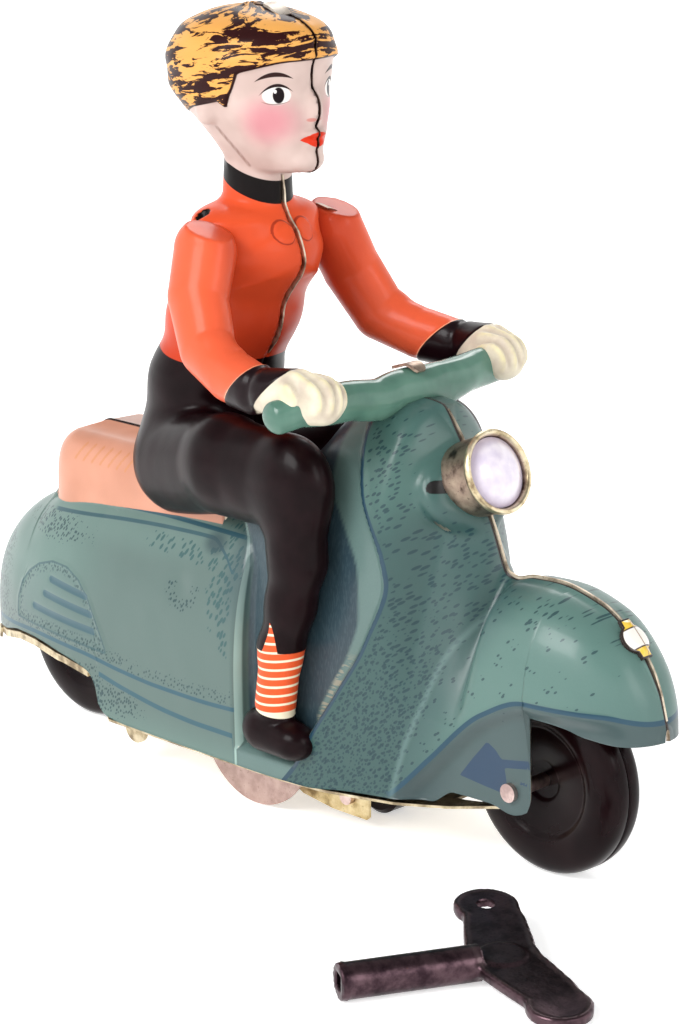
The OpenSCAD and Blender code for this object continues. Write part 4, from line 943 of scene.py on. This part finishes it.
def rider_paint():
    p = Paint("litho_rider", 0.32, 0.0, 0.05, 0.1, 0.09)
    s, z = p.attr("face_s"), p.node("ShaderNodeSeparateXYZ")
    p.feed(z.inputs[0], p.space())
    z = z.outputs[2]
    dots = p.noise(p.space(), 5.0, 1.0)
    grain = p.add(0.975, p.mul(dots, 0.05))

    def oval(cs, cz, rs, rz, soft=0.08):
        a = p.math("DIVIDE", p.sub(s, cs), rs)
        b = p.math("DIVIDE", p.sub(z, cz), rz)
        r = p.math("SQRT", p.add(p.mul(a, a), p.mul(b, b)))
        return p.sub(1.0, p.step(r, 1.0, soft))

    def arc(cs, cz, bend, half_len, thick, tilt=0.0):
        a = p.sub(s, cs)
        rise = p.add(p.mul(p.mul(a, a), -bend), p.mul(a, tilt))
        taper = p.mul(p.sub(1.0, p.math("POWER", p.math("ABSOLUTE", p.math("DIVIDE", a, half_len)), 2.0)), thick)
        gap = p.math("ABSOLUTE", p.sub(p.sub(z, cz), rise))
        return p.mul(p.step(p.sub(taper, gap), 0.0, 0.06), p.step(p.sub(half_len, p.math("ABSOLUTE", a)), 0.0, 0.05))

    # skin, blush, eye, brow and lips
    skin = p.mix(p.step(p.noise(p.space(), 0.16, 2.0), 0.5, 0.25), ink(206, 184, 176), ink(190, 166, 158))
    blush = p.mul(oval(8.2, 128.4, 4.6, 3.8, 0.75), 0.75)
    skin = p.mix(blush, skin, ink(204, 122, 134))
    skin = p.mix(oval(6.7, 133.1, 2.55, 1.75), skin, ink(232, 226, 222))
    skin = p.mix(oval(6.3, 133.1, 1.05, 1.45), skin, ink(22, 12, 16))
    skin = p.mix(oval(6.9, 133.8, 0.3, 0.36), skin, ink(226, 220, 220))
    skin = p.mix(arc(6.8, 134.9, 0.16, 3.1, 0.3, -0.08), skin, ink(34, 18, 20))
    skin = p.mix(p.mul(arc(6.9, 131.5, -0.08, 2.6, 0.14), 0.7), skin, ink(110, 70, 64))
    skin = p.mix(arc(7.2, 136.9, 0.09, 3.5, 0.42, -0.05), skin, ink(44, 24, 22))
    skin = p.mix(p.mul(oval(1.0, 128.4, 0.7, 0.35, 0.3), 0.6), skin, ink(190, 90, 80))
    upper = arc(0.0, 125.0, 0.02, 2.9, 1.15)
    lower = p.mul(arc(0.0, 124.9, -0.03, 2.6, 1.5), p.step(p.mul(z, -1.0), -125.1, 0.05))
    skin = p.mix(p.high(upper, lower), skin, ink(206, 50, 24))
    skin = p.mix(p.mul(p.step(p.attr("jaw"), -0.1, 0.3), 0.6), skin, ink(112, 74, 62))
    # hair: dark streaks that run round the head on ochre
    v = p.node("ShaderNodeCombineXYZ")
    p.feed(v.inputs[0], p.mul(s, 0.22))
    p.feed(v.inputs[1], p.add(z, p.mul(s, 0.10)))
    streak = p.noise(v.outputs[0], 0.95, 4.0, 0.62, 0.7)
    patchy = p.noise(v.outputs[0], 0.3, 2.0)
    dark = p.step(p.add(streak, p.mul(p.sub(patchy, 0.5), 0.5)), 0.50, 0.02)
    hair = p.mix(dark, p.dim(ink(222, 160, 84), grain), ink(44, 16, 16))
    # jacket, collar and trousers
    # painted shade darkens the jacket towards its lower front
    jacket = p.mix(p.attr("jacket_shade"), ink(214, 80, 44), ink(172, 48, 24))
    jacket = p.dim(jacket, p.mul(grain, p.tone(0.05, 0.4)))
    outline = p.line(p.attr("tab"), 0.0, 0.14)
    jacket = p.mix(p.mul(outline, 0.7), jacket, ink(120, 30, 20))
    black = p.mix(p.step(p.noise(p.space(), 0.2, 2.0), 0.5, 0.2), ink(15, 2, 4), ink(24, 8, 11))
    c = p.mix(p.step(p.attr("waist"), 0.0, 0.06), black, jacket)
    c = p.mix(p.step(p.attr("collar_low"), 0.0, 0.06), c, ink(14, 8, 8))
    c = p.mix(p.step(p.attr("collar_top"), 0.0, 0.06), c, skin)
    head_line = p.line(p.attr("hair"), 0.0, 0.16)
    c = p.mix(p.step(p.attr("hair"), 0.0, 0.05), c, hair)
    c = p.mix(head_line, c, ink(40, 18, 18))
    # sock bands
    bands = p.math("FRACT", p.math("DIVIDE", p.add(z, p.mul(p.attr("sock_bend"), 1.0)), 1.72))
    stripe = p.sub(1.0, p.step(p.math("ABSOLUTE", p.sub(bands, 0.5)), 0.13, 0.04))
    sock = p.mix(stripe, ink(222, 88, 46), ink(240, 226, 196))
    sock = p.mix(p.sub(1.0, p.step(z, 23.4, 0.1)), sock, ink(240, 228, 200))
    c = p.mix(p.step(p.attr("sock"), 0.0, 0.06), c, sock)
    # painted shade fills the shoulder slot's hollow with near-black
    c = p.mix(p.step(p.attr("slot"), 0.0, 0.1), c, ink(6, 4, 4))
    nick = p.step(p.noise(p.space(), 1.5, 4.0, 0.8), 0.78, 0.012)
    nick = p.mul(nick, p.sub(1.0, p.step(p.attr("collar_top"), 0.0, 0.06)))
    c = p.mix(p.mul(nick, 0.5), c, ink(70, 50, 44))
    p.dents(0.25)
    return p.done(c)


def arm_paint():
    p = Paint("litho_arm", 0.32, 0.0, 0.08, 0.1, 0.14)
    dots = p.noise(p.space(), 5.0, 1.0)
    grain = p.add(0.975, p.mul(dots, 0.05))
    # painted shade darkens the sleeve on its inner side, next to the body
    red = p.mix(p.attr("jacket_shade"), ink(222, 92, 58), ink(192, 66, 36))
    red = p.dim(red, p.mul(grain, p.tone(0.05, 0.35)))
    cuff = ink(22, 6, 10)
    hand = p.mix(p.step(p.noise(p.space(), 0.3, 3.0), 0.52, 0.2), ink(224, 214, 192), ink(204, 190, 172))
    yellow = p.mul(p.attr("finger"), p.step(p.noise(p.space(), 0.5, 2.0), 0.45, 0.2))
    hand = p.mix(p.mul(yellow, 0.5), hand, ink(236, 226, 160))
    # painted shade darkens the hollows between the fingers
    hand = p.mix(p.mul(p.attr("gap"), 0.35), hand, ink(150, 134, 120))
    c = p.mix(p.step(p.attr("cuff"), 0.0, 0.06), red, cuff)
    c = p.mix(p.step(p.attr("cuff"), 6.0, 0.06), c, p.dim(hand, grain))
    c = p.mix(p.line(p.attr("cuff"), 0.0, 0.12), c, ink(250, 170, 130))
    p.dents(0.3)
    return p.done(c)


def oriented(verts, quads):
    """Quads turned so that the closed surface faces outwards."""
    a, b, c = (verts[quads[:, k]] for k in (0, 1, 2))
    d = verts[quads[:, 3]]
    volume = (np.cross(b - a, c - a) * a).sum() + (np.cross(c - a, d - a) * a).sum()
    return quads if volume > 0 else quads[:, ::-1]


def both_sides(names, verts, quads, fields, material, slot, nodes):
    """The right piece and its mirror image."""
    made = []
    for name, side, node in zip(names, (1, -1), nodes):
        v = verts * [1, side, 1]
        made.append(place(add_mesh(name, v, oriented(v, quads), [material], True, fields), "chassis", slot, node))
    return made


STEP = 0.6
verts, quads = solid_from_field(figure_distance, (-41, -27, 13), (38, 1.2, 150), STEP)
fields = figure_fields(*verts.T)
fields["sock_bend"] = 0.5 * np.cos((verts[:, 0] - 11) / 4.0) + 0.15 * verts[:, 1] / 10
RIDER = rider_paint()
both_sides(("rider_print_right", "rider_print_left"), verts, quads, fields, RIDER, "rider_paint",
           ("rider_right_half", "rider_left_half"))

verts, quads = solid_from_field(arm_distance, (-18, -32, 76), (36, -9, 112), STEP * 0.85)
# the sleeve's painted shade darkens its inner side, next to the body
fields = {"cuff": (verts[:, 0] - 12.65) * 0.729 - (verts[:, 2] - 85.95) * 0.684,
          "jacket_shade": np.clip(ease((20 + verts[:, 1]) / 6) * 0.8, 0, 1)}
wave = np.cos(2 * math.pi * (verts[:, 1] + 24.2 - 0.12 * (verts[:, 2] - 84)) / 2.15)
grip = ease((verts[:, 0] - 22.5) / 4) * ease((verts[:, 2] - 81.5) / 3)
fields["finger"] = ease(wave) * grip
# painted shade in the hollows between the fingers
fields["gap"] = ease(-wave) * grip
both_sides(("arm_print_right", "arm_print_left"), verts, quads, fields, arm_paint(), "rider_paint",
           ("right_arm", "left_arm"))


def bar_distance(x, y, z):
    d = chain_distance(BAR, x, np.abs(y), z)
    hollows = np.sin(y * 0.55 + 0.4) * np.cos(z * 0.5) * 0.22 + 0.35 * np.exp(-((y + 8.5) ** 2) / 6)
    return d + hollows * 0.8


verts, quads = solid_from_field(bar_distance, (21, -32, 75), (34, 32, 88.5), STEP * 0.8)
place(add_mesh("bar_enamelled", verts, oriented(verts, quads), [GREEN]), "chassis", "bar_paint", "handlebar")


def front_profile(z):
    """Front of the figure on its centre plane at height z."""
    xs = np.linspace(-12, 9, 211)
    d = figure_distance(xs, np.full(211, -0.4), np.full(211, float(z)))
    return xs[np.argmax(d > 0)]


chest = [(front_profile(z), z) for z in np.arange(83, 117.2, 0.6)]
face = []
for a in np.radians(np.arange(-58, 100, 2.0)):
    r = np.linspace(4, 30, 521)
    d = figure_distance(-9 + r * math.cos(a), np.full(521, -0.4), 131 + r * math.sin(a))
    hit = r[np.argmax(d > 0)]
    face.append((-9 + hit * math.cos(a), 131 + hit * math.sin(a)))
lip("seam_edge_chest", np.array(chest)[::-1], "chassis", "trim_paint", EDGE, 0.02, 0.4, 0.55)
lip("seam_edge_face", np.array(face)[::-1], "chassis", "trim_paint", DARK_EDGE, -0.08, 0.14, 0.14)


# ------------------------------------------------------------------ small trim
def strip_piece(name, line, width, thick, across, body, slot, material, nodes=(), taper=0.0):
    """Bent tin strip: follows the (x, y, z) line, with its width along the direction across."""
    p = np.array(line, float)
    across = np.array(across, float) / np.linalg.norm(across)
    t = np.gradient(p, axis=0)
    nrm = np.cross(t, across)
    nrm /= np.linalg.norm(nrm, axis=1, keepdims=True)
    u = np.linspace(0, 1, len(p))
    w = width / 2 * np.sqrt(np.clip(1 - (np.abs(2 * u - 1) ** 6) * taper, 0.02, 1))[:, None]
    h = thick / 2
    ring = [(-1, -h), (-0.9, h), (0.9, h), (1, -h)]
    v = np.stack([p + across * a * w + nrm * b for a, b in ring], 1)
    n, m = v.shape[:2]
    idx = np.arange(n * m).reshape(n, m)
    faces = [tuple(f) for j in range(m) for f in
             np.stack([idx[:-1, j], idx[1:, j], idx[1:, (j + 1) % m], idx[:-1, (j + 1) % m]], 1)]
    faces += [tuple(idx[0]), tuple(idx[-1][::-1])]
    obj = add_mesh(name, v.reshape(-1, 3), faces, [material])
    return place(sharp_edges(obj, 50), body, slot, *nodes)


clip_u = np.linspace(-1, 1, 17)
clip_line = [(27.6 + 3.3 * u, 0.0, 86.75 - 1.0 * u * u + 0.35 * math.sin(3 * u)) for u in clip_u]
strip_piece("bar_clip", clip_line, 3.4, 0.5, (0, 1, 0), "chassis", "bare_tin", LAMP_TIN, ("handlebar_clip",), 0.7)
strip_piece("head_tab", [(-7.6 + 6 * u, 0.4 - 1.2 * u, 148.3 - 1.7 * u * u) for u in np.linspace(0, 1, 9)], 3.0, 0.4,
            (0.3, 1, 0.1), "chassis", "bare_tin", BARE, (), 0.6)
strip_piece("shoulder_strap", [(-7.2 + 0.5 * u, 12.4 + 3.4 * u, 109.4 - 0.3 * u - 1.3 * u * u)
                               for u in np.linspace(0, 1, 9)], 3.0, 0.4, (1, 0.1, -0.25), "chassis", "bare_tin",
            LAMP_TIN)
floor_tab = np.linspace(-81.5, -78.5, 7)
strip_piece("floor_tab", [(x, -float(plan_half(np.array(x))) - 0.15, float(low_edge(np.array(x))) - 1.6)
                          for x in floor_tab], 2.6, 0.5, (0, 0.15, 1), "chassis", "gold_tin", BEIGE, (), 0.5)


def crest_paint():
    p = Paint("crest_print", 0.25, 0.0, 0.5, 0.05)
    a, b = p.attr("along"), p.attr("across")
    c = p.mix(p.step(p.math("ABSOLUTE", a), 1.9, 0.06), ink(240, 236, 228), ink(228, 190, 70))
    c = p.mix(p.line(p.math("ABSOLUTE", a), 1.9, 0.13), c, ink(60, 40, 30))
    c = p.mix(p.line(b, 0.35, 0.1), c, ink(150, 120, 90))
    c = p.mix(p.sub(1.0, p.step(p.attr("rim"), 0.3, 0.05)), c, ink(46, 32, 28))
    p.bumps(p.noise(p.space(), 1.0, 2.0), 0.08, 0.0002)
    return p.done(c)


def crest():
    """Badge over the nose of the mudguard: a round middle between two ends, crowned and curled over the seam."""
    g = np.linspace(-1, 1, 61)
    a, b = np.meshgrid(4.2 * g, 3.4 * g, indexing="ij")
    ends = np.maximum(2.9 - np.hypot(a, b), np.minimum(3.9 - np.abs(a), 1.7 - 0.12 * np.abs(a) - np.abs(b)))
    inside = ends > -0.05
    rise = 0.75 + 0.5 * ease(ends / 1.2) - 0.055 * b * b
    tilt = math.radians(46)
    ax = np.array([math.cos(tilt), 0, -math.sin(tilt)])
    up = np.array([math.sin(tilt), 0, math.cos(tilt)])
    base = np.array([81.2, 0, 46.6])
    low = rise - 0.6
    pts = []
    for h in (rise, low):
        curl = -0.012 * a * a
        lifted = base + a[..., None] * ax + (h + curl)[..., None] * up + b[..., None] * np.array([0, 1, 0])
        pts.append(lifted.reshape(-1, 3))
    n, m = a.shape
    quads = grid_faces(n, m)
    keep = inside.ravel()[quads].all(1)
    top = quads[keep]
    edges = {}
    for q in top:
        for u, v in zip(q, np.roll(q, -1)):
            edges[(u, v)] = 1
    wall = [(u, u + n * m, v + n * m, v) for (u, v) in edges if (v, u) not in edges]
    faces = [tuple(q) for q in top] + [tuple((q + n * m)[::-1]) for q in top] + wall
    used = sorted(set(i for f in faces for i in f))
    where = {old: new for new, old in enumerate(used)}
    faces = [tuple(where[i] for i in f) for f in faces]
    every = np.concatenate(pts)[used]
    pick = np.array(used) % (n * m)
    fields = {"along": a.ravel()[pick], "across": b.ravel()[pick], "rim": ends.ravel()[pick]}
    obj = add_mesh("crest_badge", every, faces, [crest_paint()], True, fields)
    return place(sharp_edges(obj, 60), "chassis", "trim_paint", "mudguard_crest")


crest()


# ------------------------------------------------------------------ winding key
KEY_END, KEY_TURN, KEY_TILT, KEY_R = (75.8, -66.2), math.radians(62.6), math.radians(5), 3.1


def bow_distance(u, v):
    """Outline of the key's bow in its own plane, negative inside."""
    d = np.hypot(u - 28.2, v) - 6.0
    for s in (-1, 1):
        lobe = np.hypot(u - 31.5, v - s * 18) - 5.5
        arm = -polygon_distance(u, v, [(22.9, 0), (23.3, s * 5), (24.8, s * 10), (26.6, s * 15.4), (36.6, s * 19),
                                       (36.4, s * 12), (35.1, s * 4), (34.2, 0)])
        d = melt(d, melt(lobe, arm, 0.8), 1.2)
    return d


def key_distance(u, v, w):
    bow = bow_distance(u, v)
    rim = 0.28 * ease(1 - np.abs(bow + 0.55) / 0.5)
    boss = 0.35 * ease((4.4 - np.hypot(u - 28.2, v)) / 0.6)
    half = 0.78 + rim + boss
    q = np.abs(w) - half
    plate = np.minimum(np.maximum(bow, q), 0) + np.hypot(np.maximum(bow + 0.25, 0), np.maximum(q + 0.25, 0)) - 0.25
    tube = np.maximum(np.hypot(v, w) - KEY_R, np.maximum(-u, u - 24.2))
    collar = np.maximum(np.hypot(v, w) - KEY_R + 0.1 - 0.25 * ease(1 - np.abs(u - 1.0) / 0.8), np.maximum(-u, u - 2))
    tube = np.minimum(tube, collar)
    d = melt(plate, tube, 1.0)
    socket = np.maximum(np.maximum(np.abs(v), np.abs(w)) - 1.35, u - 14)
    d = np.maximum(d, -socket)
    d = np.maximum(d, 1.6 - np.hypot(u - 31.5, v - 18))
    return d


def key_paint():
    p = Paint("burnished_key", 0.32, 1.0)
    fibre = p.noise(p.space((160, 900, 300), (0, 0, 62)), 1.0, 3.0, 0.6)
    hatch = p.cells(p.space((1500, 1500, 600), (0, 0, 17)), 1.0)
    patch = p.noise(p.space(), 0.22, 4.0, 0.65)
    c = p.mix(p.step(patch, 0.52, 0.15), ink(92, 72, 78), ink(52, 38, 44))
    c = p.dim(c, p.add(0.8, p.mul(fibre, 0.4)))
    c = p.mix(p.mul(p.step(p.mul(hatch, -1.0), -0.28, 0.1), p.mul(p.attr("field"), 0.45)), c, ink(34, 26, 30))
    c = p.mix(p.mul(p.attr("rim"), 0.45), c, ink(140, 120, 122))
    rust = p.step(p.noise(p.space(), 0.9, 4.0, 0.8), 0.70, 0.03)
    c = p.mix(p.mul(rust, 0.5), c, ink(90, 56, 40))
    p.put("Roughness", p.add(0.24, p.mul(patch, 0.2)))
    p.bumps(p.add(p.mul(hatch, -0.6), fibre), 0.2, 0.0002)
    return p.done(c)


verts, quads = solid_from_field(key_distance, (-0.9, -24.6, -3.9), (38.4, 24.6, 3.9), 0.42)
outline = bow_distance(verts[:, 0], verts[:, 1])
fields = {"rim": ease(1 - np.abs(outline + 0.75) / 0.6) * (verts[:, 0] > 22),
          "field": ease((-1.6 - outline) / 0.3) * ease((np.abs(verts[:, 2]) - 0.5) / 0.2) * (verts[:, 0] > 22)}
turn = Matrix.Rotation(KEY_TURN, 3, "Z") @ Matrix.Rotation(KEY_TILT, 3, "X")
placed = verts @ np.array(turn).T + [KEY_END[0], KEY_END[1], KEY_R]
key = add_mesh("key_burnished", placed, oriented(verts, quads), [key_paint()], True, fields)
place(sharp_edges(key, 50), "key", "key_steel", "winding_key")

# ------------------------------------------------------------------ CAD nodes that are kept, with better materials
KEPT = {"base_plate": BEIGE, "front_axle": RIVET, "rear_axle": STEEL, "axle_pinion": BRASS,
        "motor_plate_right": PLATE, "motor_plate_left": PLATE, "motor_pillars": STEEL, "mainspring": SPRING,
        "great_wheel": BRASS, "click": STEEL, "click_spring": SPRING, "click_stud": STEEL,
        "winding_arbor": STEEL, "ratchet_wheel": STEEL, "second_wheel": BRASS, "second_pinion": STEEL,
        "second_arbor": STEEL, "governor_pinion": STEEL, "governor_arbor": STEEL, "governor_star": BRASS,
        "governor_verge": STEEL, "winding_eyelet": BRASS, "stabiliser_disc_right": DISC,
        "stabiliser_disc_left": DISC, "stabiliser_axle": STEEL, "pilot_bracket": GOLD_TIN,
        "pilot_rivet": STEEL, "pilot_wheel": WHEEL, "pilot_pin": RIVET, "stop_lever": BEIGE,
        "stop_lever_pin": STEEL}
for node, material in KEPT.items():
    mesh = NODES[node].data
    mesh.materials.clear()
    mesh.materials.append(material)


# ------------------------------------------------------------------ floor, light and camera
def stage():
    """Wide pale floor whose rim curls up all round."""
    profile = [(0.0, 0.0), (0.3, 0.0), (0.8, 0.0), (1.6, 0.0), (2.2, 0.0)]
    profile += [(2.2 + 0.9 * math.sin(a), 0.9 - 0.9 * math.cos(a)) for a in np.radians(np.arange(10, 91, 10))]
    profile += [(3.1, 1.8)]
    p = Paint("paper_floor", 0.85)
    fibre = p.noise(p.space((9, 9, 9)), 1.0, 3.0)
    colour = p.mix(fibre, ink(248, 248, 248), ink(252, 252, 251))
    p.put("Specular IOR Level", 0.1)
    p.put("Emission Color", ink(255, 255, 255))
    p.put("Emission Strength", 0.5)
    material = p.done(colour)
    ang = np.linspace(0, 2 * math.pi, 96, endpoint=False)
    verts = [(0, 0, 0)] + [(r * math.cos(a), r * math.sin(a), z) for r, z in profile[1:] for a in ang]
    faces = [(0, 1 + k, 1 + (k + 1) % 96) for k in range(96)]
    for ring in range(len(profile) - 2):
        at = 1 + 96 * ring
        faces += [(at + k, at + 96 + k, at + 96 + (k + 1) % 96, at + (k + 1) % 96) for k in range(96)]
    add_mesh("floor_sweep", verts, faces, [material], True, None, None, 1.0)


def area_light(name, at, aim, size, power, tint=(1, 1, 1)):
    data = bpy.data.lights.new(name, "AREA")
    data.shape = "RECTANGLE"
    data.size, data.size_y = size
    data.energy = power
    data.color = tint
    obj = bpy.data.objects.new(name, data)
    obj.location = at
    obj.rotation_mode = "QUATERNION"
    obj.rotation_quaternion = (Vector(aim) - Vector(at)).to_track_quat("-Z", "Y")
    bpy.context.scene.collection.objects.link(obj)


stage()
middle = (0.0, 0.0, 0.07)
area_light("key_light", (-0.15, -1.25, 1.05), middle, (0.8, 0.6), 16.0)
area_light("fill_light", (1.5, -0.1, 0.9), middle, (0.6, 0.8), 5.0)
area_light("back_light", (-0.9, 1.1, 1.2), middle, (0.9, 0.5), 8.0)
world = bpy.data.worlds.new("studio")
bpy.context.scene.world = world
world.use_nodes = True
sky = world.node_tree.nodes["Background"]
sky.inputs["Color"].default_value = (1, 1, 1, 1)
sky.inputs["Strength"].default_value = 0.3
view = bpy.context.scene.view_settings
view.view_transform = "Standard"
view.look = "None"
view.exposure = 0.0
view.gamma = 1.0


def camera():
    """Camera at the viewing angle of the photograph."""
    az, el, roll = (math.radians(a) for a in (46.283, 15.582, -1.118))
    target, distance = Vector((9.945, 0, 55.881)) * MM, 597.32 * MM
    back = Vector((math.sin(az) * math.cos(el), -math.cos(az) * math.cos(el), math.sin(el)))
    right = Vector((math.cos(az), math.sin(az), 0))
    up = back.cross(right)
    r = right * math.cos(roll) + up * math.sin(roll)
    u = -right * math.sin(roll) + up * math.cos(roll)
    data = bpy.data.cameras.new("camera")
    data.sensor_width = 36.0
    data.lens = 3228.0 / 1024 * 36.0
    data.clip_start, data.clip_end = 0.01, 20
    cam = bpy.data.objects.new("camera", data)
    cam.matrix_world = Matrix((r, u, back)).transposed().to_4x4()
    cam.location = target + back * distance
    bpy.context.scene.collection.objects.link(cam)
    bpy.context.scene.camera = cam


camera()
